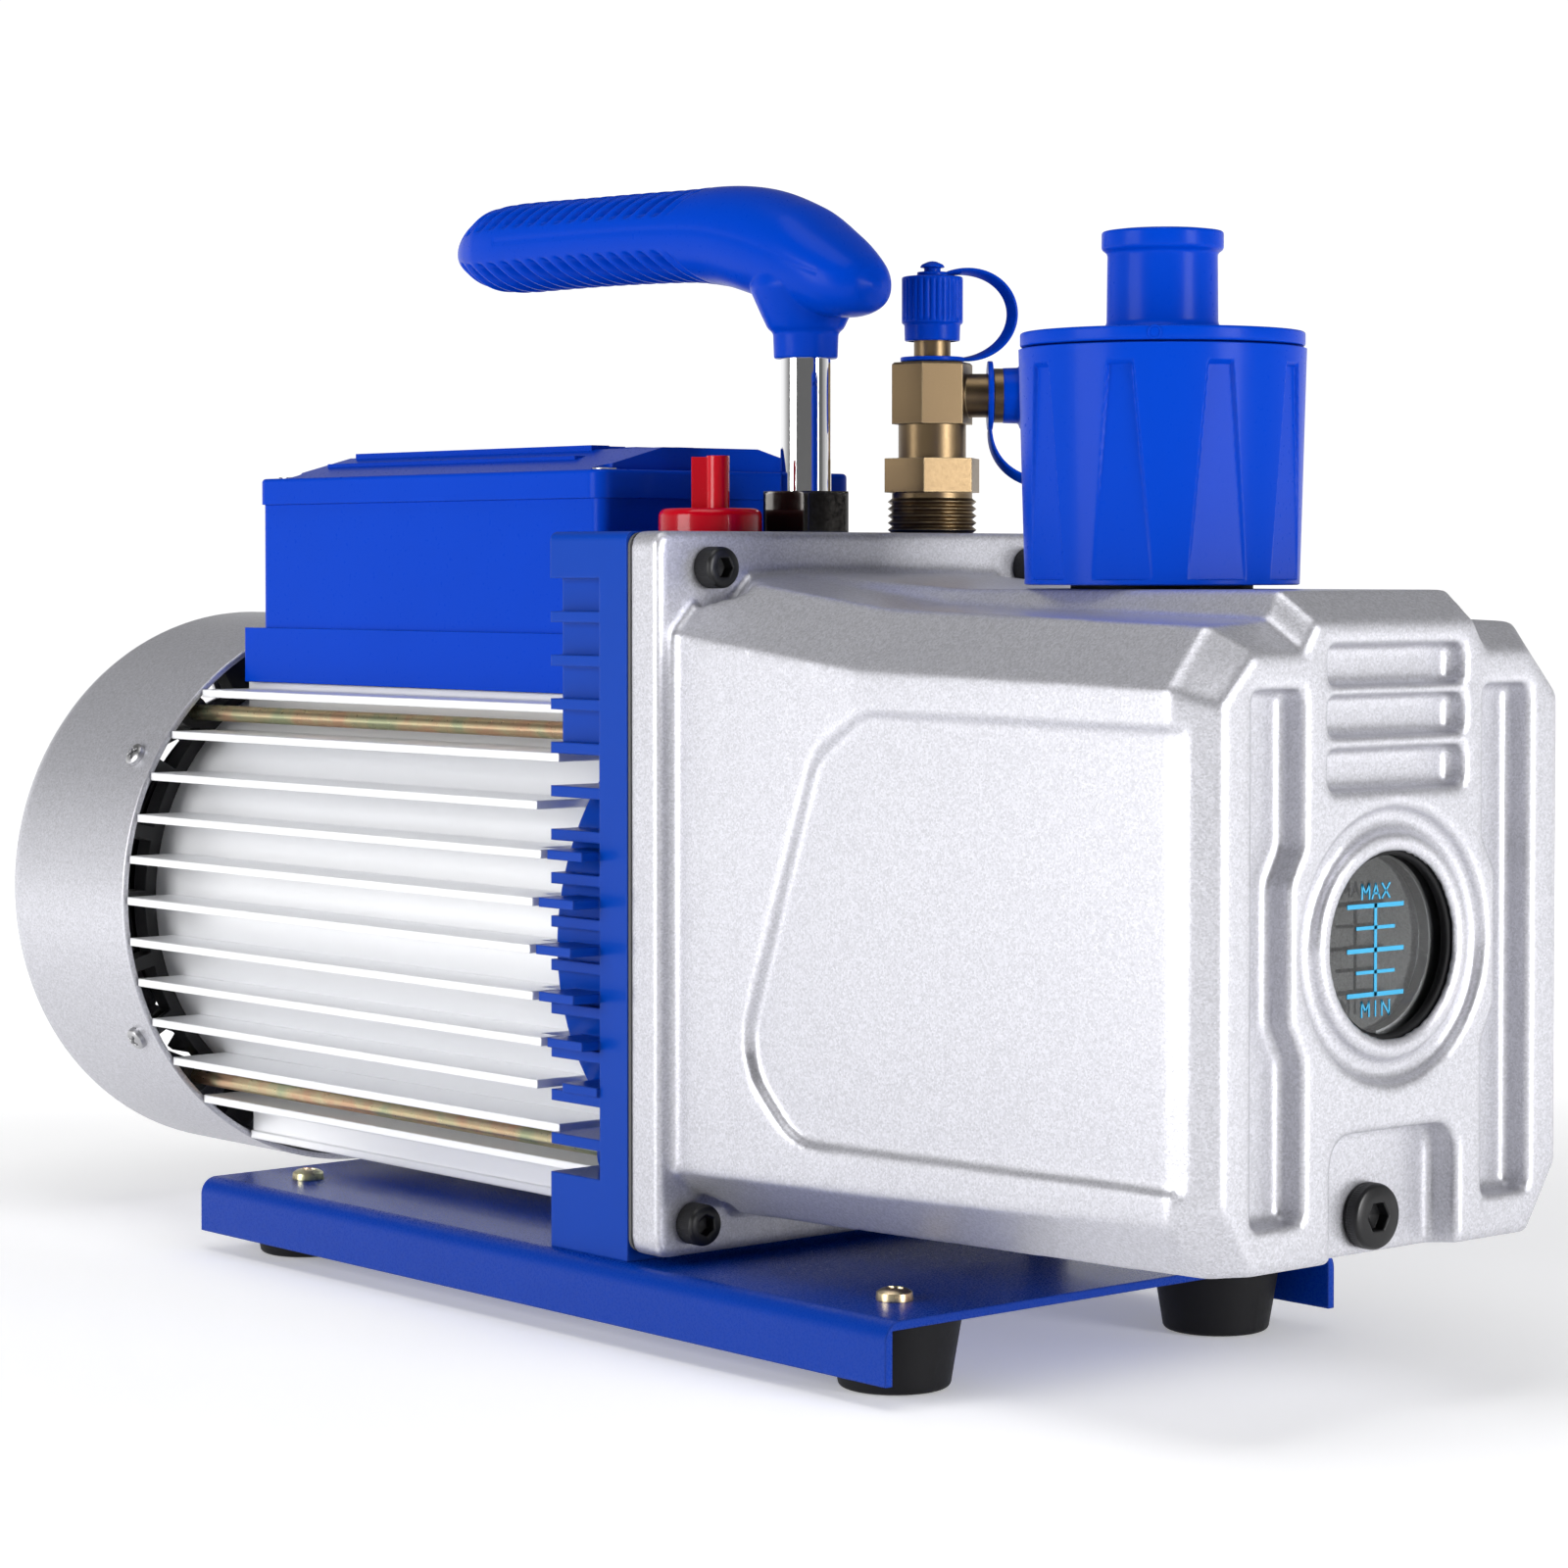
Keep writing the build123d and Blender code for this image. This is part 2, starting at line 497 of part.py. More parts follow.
with BuildPart() as shaft_seal:
    rod(35.5, 42.5, 15.0)
    rod(35.5, 42.5, SHAFT_R + 0.02, mode=Mode.SUBTRACT)
    with BuildSketch(face_x(38.5, 0, ZM)):
        Circle(13.2)
        Circle(9.2, mode=Mode.SUBTRACT)
    extrude(amount=4.0, mode=Mode.SUBTRACT)
save(shaft_seal, "shaft_seal")

# ---------------------------------------------------------------- motor
FINS = [k * FIN_PITCH for k in range(-6, 6)]
with BuildPart() as motor_housing:
    rod(BARREL_X0, BR_X0, BARREL_R)
    block(-141.0, 8.0, -35.0, 35.0, ZM + 40.0, 135.8)
    block(-142.9, 14.0, -33.0, 33.0, 21.2, ZM - 40.0)
    for z in FINS:
        half = sqrt(FIN_R ** 2 - z ** 2)
        for s in SIDES:
            y0 = 30.0 if z < -50 else 32.0
            block(-142.9, 14.0, min(s * y0, s * half), max(s * y0, s * half), ZM + z - 0.95, ZM + z + 0.95)
            if half > 63:
                block(13.0, 20.6, min(s * 61.2, s * half), max(s * 61.2, s * half), ZM + z - 0.95, ZM + z + 0.95)
    rod(BARREL_X0, 21.0, STATOR_R, mode=Mode.SUBTRACT)
    for s in SIDES:
        for z in (ZM - ROD_Z, ZM + ROD_Z):
            rod(-143.0, 21.0, 2.5, s * ROD_Y, z, mode=Mode.SUBTRACT)
    block(-60.0, -36.0, -10.0, 10.0, ZM + 45.0, 137.0, mode=Mode.SUBTRACT)
save(motor_housing, "motor_housing")

SLOTS = 24
with BuildPart() as stator_core:
    rod(-112.0, -28.0, STATOR_R - 0.02)
    rod(-112.0, -28.0, BORE_R, mode=Mode.SUBTRACT)
    with BuildSketch(face_x(-112.0, 0, ZM)):
        with PolarLocations(35.0, SLOTS):
            SlotCenterToCenter(8.0, 4.0)
    extrude(amount=84.0, mode=Mode.SUBTRACT)
save(stator_core, "stator_core")

with BuildPart() as stator_windings:
    with BuildSketch(face_x(-112.0, 0, ZM)):
        with PolarLocations(35.0, SLOTS):
            SlotCenterToCenter(7.9, 3.8)
    extrude(amount=84.0)
    for x0, x1 in ((-134.0, -112.0), (-28.0, -6.0)):
        rod(x0, x1, 44.0)
        rod(x0, x1, 30.0, mode=Mode.SUBTRACT)
    ends = stator_windings.edges().filter_by(GeomType.CIRCLE)
    fillet(ends.group_by(Axis.X)[0] + ends.group_by(Axis.X)[-1], 4.0)
save(stator_windings, "stator_windings")

with BuildPart() as motor_rotor:
    rod(-112.0, -28.0, BORE_R - 0.4)
    for x0, x1 in ((-118.0, -112.0), (-28.0, -22.0)):
        rod(x0, x1, BORE_R - 2.0)
        rod(x0, x1, 14.0, mode=Mode.SUBTRACT)
    rod(-112.0, -28.0, SHAFT_R - 0.03, mode=Mode.SUBTRACT)
    with BuildSketch(face_x(-122.0, 0, ZM)):
        with PolarLocations(23.0, 8):
            Rectangle(5.0, 1.6)
    extrude(amount=4.0)
    with BuildSketch(face_x(-22.0, 0, ZM)):
        with PolarLocations(23.0, 8):
            Rectangle(5.0, 1.6)
    extrude(amount=4.0)
save(motor_rotor, "motor_rotor")

COVER_SCREWS = (30.0, 150.0, 210.0, 330.0)
BELL_X0, BELL_X1 = -155.0, BARREL_X0
with BuildPart() as rear_end_bell:
    rod(BELL_X0, BELL_X1, 60.0)
    rod(-167.0, BELL_X0, 23.0)
    with Locations(Location((-152.3, 0, ZM), (0, 90, 0))):
        with PolarLocations(62.5, 24):
            Box(8.6, 3.4, 5.4)
    with Locations(Location((-152.3, 0, ZM), (0, 90, 0))):
        with PolarLocations(64.5, 4, start_angle=45):
            Cylinder(4.0, 5.4)
        with Locations(*[Location((0, 0, 0), (0, 0, a)) * Location((62.6, 0, 0)) for a in COVER_SCREWS]):
            Box(8.6, 8.0, 5.4)
    with BuildSketch(face_x(BELL_X0, 0, ZM)):
        with PolarLocations(40.0, 6, start_angle=30):
            SlotOverall(24.0, 9.0, rotation=90)
    extrude(amount=BELL_X1 - BELL_X0, mode=Mode.SUBTRACT)
    rod(-166.0, BELL_X1, 17.55, mode=Mode.SUBTRACT)
    rod(-168.0, BELL_X1, 9.0, mode=Mode.SUBTRACT)
    for s in SIDES:
        for z in (ZM - ROD_Z, ZM + ROD_Z):
            rod(-156.0, -149.0, 2.05, s * ROD_Y, z, mode=Mode.SUBTRACT)
    for a in COVER_SCREWS:
        with Locations(Location((-152.3, 0, ZM), (a - 90, 0, 0)) * Location((0, 0, 65.0))):
            Cylinder(2.05, 8.0, mode=Mode.SUBTRACT)
save(rear_end_bell, "rear_end_bell")

with BuildPart() as tie_rods:
    for s in SIDES:
        for z in (ZM - ROD_Z, ZM + ROD_Z):
            rod(-155.0, 34.0, 2.0, s * ROD_Y, z)
            rod(-158.4, -155.0, 3.9, s * ROD_Y, z)
save(tie_rods, "tie_rods")

with BuildPart() as cooling_fan:
    rod(-183.0, -170.0, 14.0)
    rod(-172.0, -170.0, 52.0)
    with Locations(Location((-178.0, 0, ZM), (0, 90, 0))):
        with PolarLocations(33.0, 10):
            Box(40.0, 2.0, 14.0)
    rod(-186.0, -169.0, SHAFT_R, mode=Mode.SUBTRACT)
save(cooling_fan, "cooling_fan")

with BuildPart() as fan_cover:
    rod(X_REAR, COVER_RIM_X, COVER_R)
    fillet(fan_cover.edges().group_by(Axis.X)[0], 9.0)
    rod(X_REAR + COVER_WALL + 8.0, COVER_RIM_X, COVER_R - COVER_WALL, mode=Mode.SUBTRACT)
    rod(X_REAR + COVER_WALL, X_REAR + 10.0, COVER_R - 9.0, mode=Mode.SUBTRACT)
    for r in (18.0, 28.0, 38.0, 48.0):
        with BuildSketch(face_x(X_REAR, 0, ZM)):
            with PolarLocations(r, 8 if r > 20 else 4, start_angle=22.5):
                Rectangle(5.0, 10.0 + (r - 18.0) * 0.55)
        extrude(amount=4.0, mode=Mode.SUBTRACT)
    for a in COVER_SCREWS:
        with Locations(Location((-152.3, (COVER_R - 1.0) * cos(radians(a)), ZM + (COVER_R - 1.0) * sin(radians(a))),
                                (a - 90, 0, 0))):
            Cylinder(2.2, 6.0, mode=Mode.SUBTRACT)
save(fan_cover, "fan_cover")

with BuildPart() as fan_cover_screws:
    for a in COVER_SCREWS:
        turn = Location((-152.3, 0, ZM), (a - 90, 0, 0))
        with Locations(turn * Location((0, 0, COVER_R + 1.0))):
            Cylinder(2.7, 2.0)
        with Locations(turn * Location((0, 0, 66.8))):
            Cylinder(2.0, 6.6)
save(fan_cover_screws, "fan_cover_screws")

# ---------------------------------------------------------------- terminal box on the motor
BOX_Z0, SKIRT_TOP, BODY_TOP, LID_TOP = 136.0, 149.4, 179.8, 186.2
BOX_BACK_Z = 165.0
INLET_WIN_Y, SWITCH_WIN_Y = -14.5, 19.0

with BuildPart() as terminal_box:
    block(BOX_X0 - 6.8, BOX_X1 + 2.0, -BOX_HALF, BOX_HALF, BOX_Z0, SKIRT_TOP)
    fillet(terminal_box.edges().filter_by(Axis.Z), 1.5)
    block(BOX_X0, BOX_X1, -BOX_HALF + 0.9, BOX_HALF - 0.9, SKIRT_TOP - 0.1, BODY_TOP)
    fillet(terminal_box.edges().filter_by(Axis.Z).group_by(Axis.Z)[-1], 3.0)
    block(BOX_X0 + 2.4, BOX_X1 - 2.4, -BOX_HALF + 3.3, BOX_HALF - 3.3, 142.0, BODY_TOP, mode=Mode.SUBTRACT)
    rod(BARREL_X0, BR_X0, BARREL_R + 0.1, mode=Mode.SUBTRACT)
    block(-59.0, -37.0, -9.0, 9.0, BOX_Z0, 143.0, mode=Mode.SUBTRACT)
    block(BOX_X0 - 1.0, BOX_X0 + 3.0, INLET_WIN_Y - 13.6, INLET_WIN_Y + 13.6, BOX_BACK_Z - 10.0, BOX_BACK_Z + 10.0,
          mode=Mode.SUBTRACT)
    block(BOX_X0 - 1.0, BOX_X0 + 3.0, SWITCH_WIN_Y - 9.6, SWITCH_WIN_Y + 9.6, BOX_BACK_Z - 6.4, BOX_BACK_Z + 6.4,
          mode=Mode.SUBTRACT)
    LID_SCREWS = [(x, s * 31.6) for x in (BOX_X0 + 5.2, BOX_X1 - 5.2) for s in SIDES]
    for x, y in LID_SCREWS:
        post(141.0, BODY_TOP, 3.2, x, y)
        post(165.0, BODY_TOP, 1.4, x, y, mode=Mode.SUBTRACT)
save(terminal_box, "terminal_box")

CROWN = [(2.0 - BOX_HALF, LID_TOP - 0.4), (-14.0, 191.6), (14.0, 191.6), (BOX_HALF - 2.0, LID_TOP - 0.4)]
with BuildPart() as terminal_lid:
    block(BOX_X0 - 0.6, BOX_X1 + 0.6, -BOX_HALF, BOX_HALF, BODY_TOP, LID_TOP)
    fillet(terminal_lid.edges().filter_by(Axis.Z), 4.0)
    fillet(terminal_lid.edges().group_by(Axis.Z)[-1], 1.0)
    with BuildSketch(face_x(BOX_X0 + 6.0)):
        Polygon(*CROWN, align=None)
    extrude(amount=BOX_X1 - BOX_X0 - 12.0)
    for y in (-21.0, -12.6, -4.2, 4.2, 12.6, 21.0):
        top = 192.6 if abs(y) < 14 else 189.9
        block(BOX_X0 + 10.0, -34.0 + 2.2 * abs(y) / 4, y - 2.6, y + 2.6, LID_TOP - 1.0, top)
    block(BOX_X0 + 2.4, BOX_X1 - 2.4, -BOX_HALF + 3.4, BOX_HALF - 3.4, BODY_TOP, LID_TOP - 2.0, mode=Mode.SUBTRACT)
    with Locations(*[(x, y, BODY_TOP + 3.2) for x, y in LID_SCREWS]):
        Cylinder(3.6, 6.4)
        Cylinder(1.6, 12.0, mode=Mode.SUBTRACT)
    with Locations(*[(x, y, 187.7) for x, y in LID_SCREWS]):
        Cylinder(3.0, 6.4, mode=Mode.SUBTRACT)
save(terminal_lid, "terminal_lid")

with BuildPart() as lid_screws:
    for x, y in LID_SCREWS:
        post(168.0, 184.5, 1.35, x, y)
        post(184.5, 186.6, 2.7, x, y)
    with Locations(*[(x, y, 186.4) for x, y in LID_SCREWS]):
        Box(3.2, 0.7, 1.6, mode=Mode.SUBTRACT)
        Box(0.7, 3.2, 1.6, mode=Mode.SUBTRACT)
save(lid_screws, "lid_screws")

with BuildPart() as run_capacitor:
    rod(-84.0, -24.0, 14.5, 12.0, 158.4)
    fillet(run_capacitor.edges().group_by(Axis.X)[0], 2.0)
    fillet(run_capacitor.edges().group_by(Axis.X)[-1], 2.0)
    for y in (8.0, 16.0):
        block(-88.0, -83.5, y - 0.4, y + 0.4, 155.8, 161.3)
save(run_capacitor, "run_capacitor")

BX = BOX_X0
with BuildPart() as power_inlet:
    block(BX - 2.6, BX, INLET_WIN_Y - 16.0, INLET_WIN_Y + 16.0, BOX_BACK_Z - 12.4, BOX_BACK_Z + 12.4)
    fillet(power_inlet.edges().filter_by(Axis.X), 2.0)
    block(BX, BX + 20.0, INLET_WIN_Y - 13.4, INLET_WIN_Y + 13.4, BOX_BACK_Z - 9.8, BOX_BACK_Z + 9.8)
    block(BX - 2.6, BX + 17.0, INLET_WIN_Y - 11.8, INLET_WIN_Y + 11.8, BOX_BACK_Z - 8.0, BOX_BACK_Z + 8.0,
          mode=Mode.SUBTRACT)
    for y, z in ((-7.0, -2.0), (0.0, 2.4), (7.0, -2.0)):
        block(BX + 2.0, BX + 18.0, INLET_WIN_Y + y - 1.0, INLET_WIN_Y + y + 1.0, BOX_BACK_Z + z - 2.0,
              BOX_BACK_Z + z + 2.0)
save(power_inlet, "power_inlet")

with BuildPart() as switch_frame:
    block(BX - 2.0, BX, SWITCH_WIN_Y - 11.4, SWITCH_WIN_Y + 11.4, BOX_BACK_Z - 8.2, BOX_BACK_Z + 8.2)
    fillet(switch_frame.edges().filter_by(Axis.X), 1.5)
    block(BX, BX + 16.0, SWITCH_WIN_Y - 9.4, SWITCH_WIN_Y + 9.4, BOX_BACK_Z - 6.2, BOX_BACK_Z + 6.2)
    block(BX - 2.0, BX + 12.0, SWITCH_WIN_Y - 8.2, SWITCH_WIN_Y + 8.2, BOX_BACK_Z - 5.0, BOX_BACK_Z + 5.0,
          mode=Mode.SUBTRACT)
save(switch_frame, "switch_frame")

with BuildPart() as rocker_switch:
    with BuildSketch(Plane.XY.offset(BOX_BACK_Z - 4.6)):
        with Locations((BX + 4.0, SWITCH_WIN_Y)):
            Circle(6.6)
        Polygon((BX - 3.0, SWITCH_WIN_Y - 6.4), (BX - 1.6, SWITCH_WIN_Y), (BX - 3.0, SWITCH_WIN_Y + 6.4),
                (BX + 3.4, SWITCH_WIN_Y + 6.4), (BX + 3.4, SWITCH_WIN_Y - 6.4), align=None)
    extrude(amount=9.2)
save(rocker_switch, "rocker_switch")

# ---------------------------------------------------------------- carrying handle
POST_R = 5.65
GRIP_SECTIONS = (
    (-97.8, 240.6, 2.0, 2.6),
    (-95.0, 240.8, 4.0, 5.2),
    (-88.0, 241.1, 6.6, 8.4),
    (-76.0, 241.4, 9.6, 11.2),
    (-52.0, 241.2, 10.1, 12.0),
    (-26.0, 240.8, 10.1, 12.4),
    (-4.0, 240.3, 10.3, 12.6),
    (16.0, 238.0, 12.0, 12.8),
    (31.0, 234.0, 12.2, 12.6),
    (42.0, 229.2, 10.2, 11.4),
    (50.0, 226.0, 7.0, 8.6),
    (54.6, 225.4, 2.4, 3.4),
)
with BuildPart() as handle_grip:
    for x, z, h, w in GRIP_SECTIONS:
        with BuildSketch(face_x(x, 0, z)):
            Ellipse(w, h)
    loft()
    with Locations((TOP_X - 2.0, 0, 219.6)):
        Cone(8.4, 12.2, 12.0)
    post(210.7, 219.0, 7.05, TOP_X, 0)
    with Locations((-35.0, 0, 0)):
        for k in range(16):
            with Locations(Location((-50.0 + 5.3 * k, 0, 251.0), (0, 24, 0))):
                Box(1.9, 34.0, 3.4, mode=Mode.SUBTRACT)
            with Locations(Location((-50.0 + 5.3 * k, 0, 230.6), (0, -24, 0))):
                Box(1.9, 34.0, 3.4, mode=Mode.SUBTRACT)
    post(210.0, 236.0, POST_R + 0.03, TOP_X, 0, mode=Mode.SUBTRACT)
save(handle_grip, "handle_grip")

with BuildPart() as handle_post:
    post(158.0, 173.0, 4.0, TOP_X, 0)
    post(172.0, 235.6, POST_R, TOP_X, 0)
    chamfer(handle_post.edges().group_by(Axis.Z)[-1], 0.8)
save(handle_post, "handle_post")

with BuildPart() as handle_nut:
    with BuildSketch(Plane.XY.offset(BR_TOP)):
        with Locations((TOP_X, 0)):
            RegularPolygon(10.9, 6, rotation=19.4)
    extrude(amount=9.2)
    with BuildSketch(Plane.XY.offset(BR_TOP)) as nut_round:
        with Locations((TOP_X, 0)):
            Circle(10.6)
    extrude(amount=9.2, mode=Mode.INTERSECT)
    chamfer(handle_nut.edges().filter_by(GeomType.CIRCLE).group_by(Axis.Z)[-1], 0.5)
    post(BR_TOP, BR_TOP + 9.2, POST_R + 0.02, TOP_X, 0, mode=Mode.SUBTRACT)
save(handle_nut, "handle_nut")

# ---------------------------------------------------------------- gas ballast plug
with BuildPart() as ballast_plug:
    post(BR_TOP, BR_TOP + 5.2, 11.35, TOP_X, PLUG_Y)
    fillet(ballast_plug.edges().group_by(Axis.Z)[-1], 1.8)
    with Locations(Location((TOP_X, PLUG_Y, 0), (0, 0, TEE_TURN))):
        with Locations((1.7, 0, BR_TOP + 10.6)):
            Cylinder(2.5, 12.2)
        with Locations((-1.9, 0, BR_TOP + 10.4)):
            Box(4.4, 2.2, 12.0)
    post(152.0, BR_TOP, 8.0, TOP_X, PLUG_Y)
    post(151.0, 166.0, 5.5, TOP_X, PLUG_Y, mode=Mode.SUBTRACT)
save(ballast_plug, "ballast_plug")

# ---------------------------------------------------------------- inlet fitting and its caps
HEX_Z = 181.4
with BuildPart() as inlet_adapter:
    post(151.0, 169.0, 5.4, TOP_X, INLET_Y)
    post(168.5, HEX_Z, 9.2, TOP_X, INLET_Y)
    for k in range(5):
        with Locations((TOP_X, INLET_Y, BR_TOP + 1.3 + 1.6 * k)):
            Cone(10.2, 9.2, 0.8)
            with Locations((0, 0, -0.8)):
                Cone(9.2, 10.2, 0.8)
    with BuildSketch(Plane.XY.offset(HEX_Z)):
        with Locations((TOP_X, INLET_Y)):
            RegularPolygon(11.6, 6, rotation=8.0)
    extrude(amount=7.8)
    post(HEX_Z + 7.8, 197.0, 7.75, TOP_X, INLET_Y)
    post(150.0, 198.0, 4.0, TOP_X, INLET_Y, mode=Mode.SUBTRACT)
save(inlet_adapter, "inlet_adapter")

TEE = Location((TOP_X, INLET_Y, TEE_Z), (0, 0, TEE_TURN))
SIDE = TEE * Location((0, 0, 0), (0, 90, 0))
with BuildPart() as inlet_tee:
    with BuildSketch(Plane.XY.offset(197.0)):
        with Locations((TOP_X, INLET_Y)):
            RegularPolygon(9.6, 6, rotation=TEE_TURN + 14.0)
    extrude(amount=14.1)
    chamfer(inlet_tee.edges().group_by(Axis.Z)[-1], 0.5)
    post(211.1, 217.0, 4.2, TOP_X, INLET_Y)
    post(217.0, 226.0, 5.4, TOP_X, INLET_Y)
    with Locations(SIDE * Location((0, 0, 12.0))):
        Cylinder(5.0, 10.0)
    with Locations(SIDE * Location((0, 0, 21.0))):
        Cylinder(6.2, 14.0)
    post(196.0, 227.0, 2.4, TOP_X, INLET_Y, mode=Mode.SUBTRACT)
    with Locations(SIDE * Location((0, 0, 15.0))):
        Cylinder(3.6, 28.0, mode=Mode.SUBTRACT)
save(inlet_tee, "inlet_tee")

CAP_Z0, CAP_Z1 = 216.0, 230.8
with BuildPart() as inlet_cap_top:
    post(CAP_Z0, CAP_Z0 + 3.8, 6.4, TOP_X, INLET_Y)
    post(CAP_Z0 + 3.8, CAP_Z1, 7.0, TOP_X, INLET_Y)
    fillet(inlet_cap_top.edges().group_by(Axis.Z)[-1], 1.0)
    with Locations((TOP_X, INLET_Y, CAP_Z0 + 9.0)):
        with PolarLocations(7.1, 30):
            Cylinder(0.3, 9.0, mode=Mode.SUBTRACT)
    post(CAP_Z1, CAP_Z1 + 2.0, 1.9, TOP_X, INLET_Y)
    with Locations((TOP_X, INLET_Y, CAP_Z1 + 2.6)):
        Cone(2.8, 0.8, 1.2)
    post(CAP_Z0, 226.2, 5.43, TOP_X, INLET_Y, mode=Mode.SUBTRACT)
save(inlet_cap_top, "inlet_cap_top")

with BuildPart() as inlet_cap_side:
    with Locations(SIDE * Location((0, 0, 17.6))):
        Cylinder(8.0, 3.2)
    with Locations(SIDE * Location((0, 0, 26.4))):
        Cylinder(7.6, 14.4)
        with PolarLocations(7.7, 32):
            Cylinder(0.3, 14.4, mode=Mode.SUBTRACT)
    with Locations(SIDE * Location((0, 0, 34.6))):
        Cylinder(1.9, 2.0)
    with Locations(SIDE * Location((0, 0, 36.2))):
        Cone(2.8, 0.8, 1.2)
    with Locations(SIDE * Location((0, 0, 22.1))):
        Cylinder(6.23, 12.4, mode=Mode.SUBTRACT)
save(inlet_cap_side, "inlet_cap_side")

STRAP_W, STRAP_T = 3.4, 0.9
TURN = radians(TEE_TURN)
STRAP_PLANE = Plane(origin=(TOP_X, INLET_Y, 0), x_dir=(cos(TURN), sin(TURN), 0), z_dir=(sin(TURN), -cos(TURN), 0))
with BuildPart() as cap_strap_top:
    with BuildSketch(Plane.XY.offset(211.3)):
        with Locations((TOP_X, INLET_Y)):
            Circle(7.2)
            Circle(4.25, mode=Mode.SUBTRACT)
    extrude(amount=1.0)
    with BuildSketch(Plane.XY.offset(CAP_Z1)):
        with Locations((TOP_X, INLET_Y)):
            Circle(3.4)
            Circle(1.95, mode=Mode.SUBTRACT)
    extrude(amount=1.0)
    with BuildLine(STRAP_PLANE) as strap_path:
        Bezier((3.0, CAP_Z1 + 0.5), (12.0, 234.0), (22.5, 229.5), (22.5, 216.0), (13.0, 211.9), (6.6, 211.9))
    with BuildSketch(Plane(origin=strap_path.line @ 0, z_dir=strap_path.line % 0, x_dir=(0, 0, 1))):
        Rectangle(STRAP_T, STRAP_W)
    sweep(path=strap_path.line)
save(cap_strap_top, "cap_strap_top")

with BuildPart() as cap_strap_side:
    with Locations(SIDE * Location((0, 0, 13.2))):
        Cylinder(7.8, 1.2)
        Cylinder(5.05, 1.2, mode=Mode.SUBTRACT)
    with Locations(SIDE * Location((0, 0, 34.3))):
        Cylinder(3.4, 1.0)
        Cylinder(1.95, 1.0, mode=Mode.SUBTRACT)
    with BuildLine(STRAP_PLANE) as side_path:
        Bezier((13.2, TEE_Z - 7.3), (12.8, TEE_Z - 18.0), (22.0, TEE_Z - 24.0), (34.0, TEE_Z - 23.0),
               (43.0, TEE_Z - 16.0), (40.0, TEE_Z - 4.0), (34.6, TEE_Z - 2.8))
    with BuildSketch(Plane(origin=side_path.line @ 0, z_dir=side_path.line % 0, x_dir=(sin(TURN), -cos(TURN), 0))):
        Rectangle(STRAP_W, STRAP_T)
    sweep(path=side_path.line)
save(cap_strap_side, "cap_strap_side")

# ---------------------------------------------------------------- exhaust filter
F_Z0, F_Z1 = 160.8, 208.4
with BuildPart() as filter_seal:
    post(TANK_TOP, F_Z0, 18.4, FILTER_X, 0)
    post(TANK_TOP, F_Z0, 14.6, FILTER_X, 0, mode=Mode.SUBTRACT)
save(filter_seal, "filter_seal")

FLUTES = 9
with BuildPart() as filter_body:
    with Locations((FILTER_X, 0, (F_Z0 + F_Z1) / 2)):
        Cone(27.7, 29.0, F_Z1 - F_Z0)
    # flat wedges around the wall, narrow at the top
    for k in range(FLUTES):
        turn = radians(-22.6 + 360 / FLUTES * k)
        out = (cos(turn), sin(turn))
        with BuildSketch(Plane(origin=(FILTER_X + 26.9 * out[0], 26.9 * out[1], F_Z0), x_dir=(-out[1], out[0], 0),
                               z_dir=(out[0], out[1], 0))):
            Polygon((-6.0, 1.2), (-2.4, 43.0), (2.4, 43.0), (6.0, 1.2), align=None)
        extrude(amount=4.0, mode=Mode.SUBTRACT)
    post(F_Z0 + 3.0, F_Z1, 25.4, FILTER_X, 0, mode=Mode.SUBTRACT)
    post(148.0, F_Z0, 13.0, FILTER_X, 0)
    post(148.0, F_Z0 + 3.0, 10.4, FILTER_X, 0, mode=Mode.SUBTRACT)
save(filter_body, "filter_body")

with BuildPart() as filter_lid:
    post(F_Z1, F_Z1 + 3.2, 28.6, FILTER_X, 0)
    fillet(filter_lid.edges().group_by(Axis.Z)[-1], 1.2)
    post(F_Z1 - 6.0, F_Z1, 25.35, FILTER_X, 0)
    post(F_Z1 + 3.2, 227.7, 11.1, FILTER_X, 0)
    post(227.7, 232.1, 12.2, FILTER_X, 0)
    fillet(filter_lid.edges().group_by(Axis.Z)[-1], 0.8)
    post(F_Z1 - 6.0, F_Z1 - 1.0, 23.4, FILTER_X, 0, mode=Mode.SUBTRACT)
    post(F_Z1 - 2.0, 233.0, 9.3, FILTER_X, 0, mode=Mode.SUBTRACT)
save(filter_lid, "filter_lid")

with BuildPart() as filter_element:
    post(F_Z0 + 3.0, F_Z1 - 6.2, 22.0, FILTER_X, 0)
    post(F_Z0 + 3.0, F_Z1 - 6.2, 12.0, FILTER_X, 0, mode=Mode.SUBTRACT)
    with Locations((FILTER_X, 0, (F_Z0 + F_Z1 - 3.2) / 2)):
        with PolarLocations(22.4, 30):
            Cylinder(0.8, 38.0, mode=Mode.SUBTRACT)
save(filter_element, "filter_element")
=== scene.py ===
import json
import math

import bmesh
import bpy
import numpy as np
from mathutils import Matrix, Vector


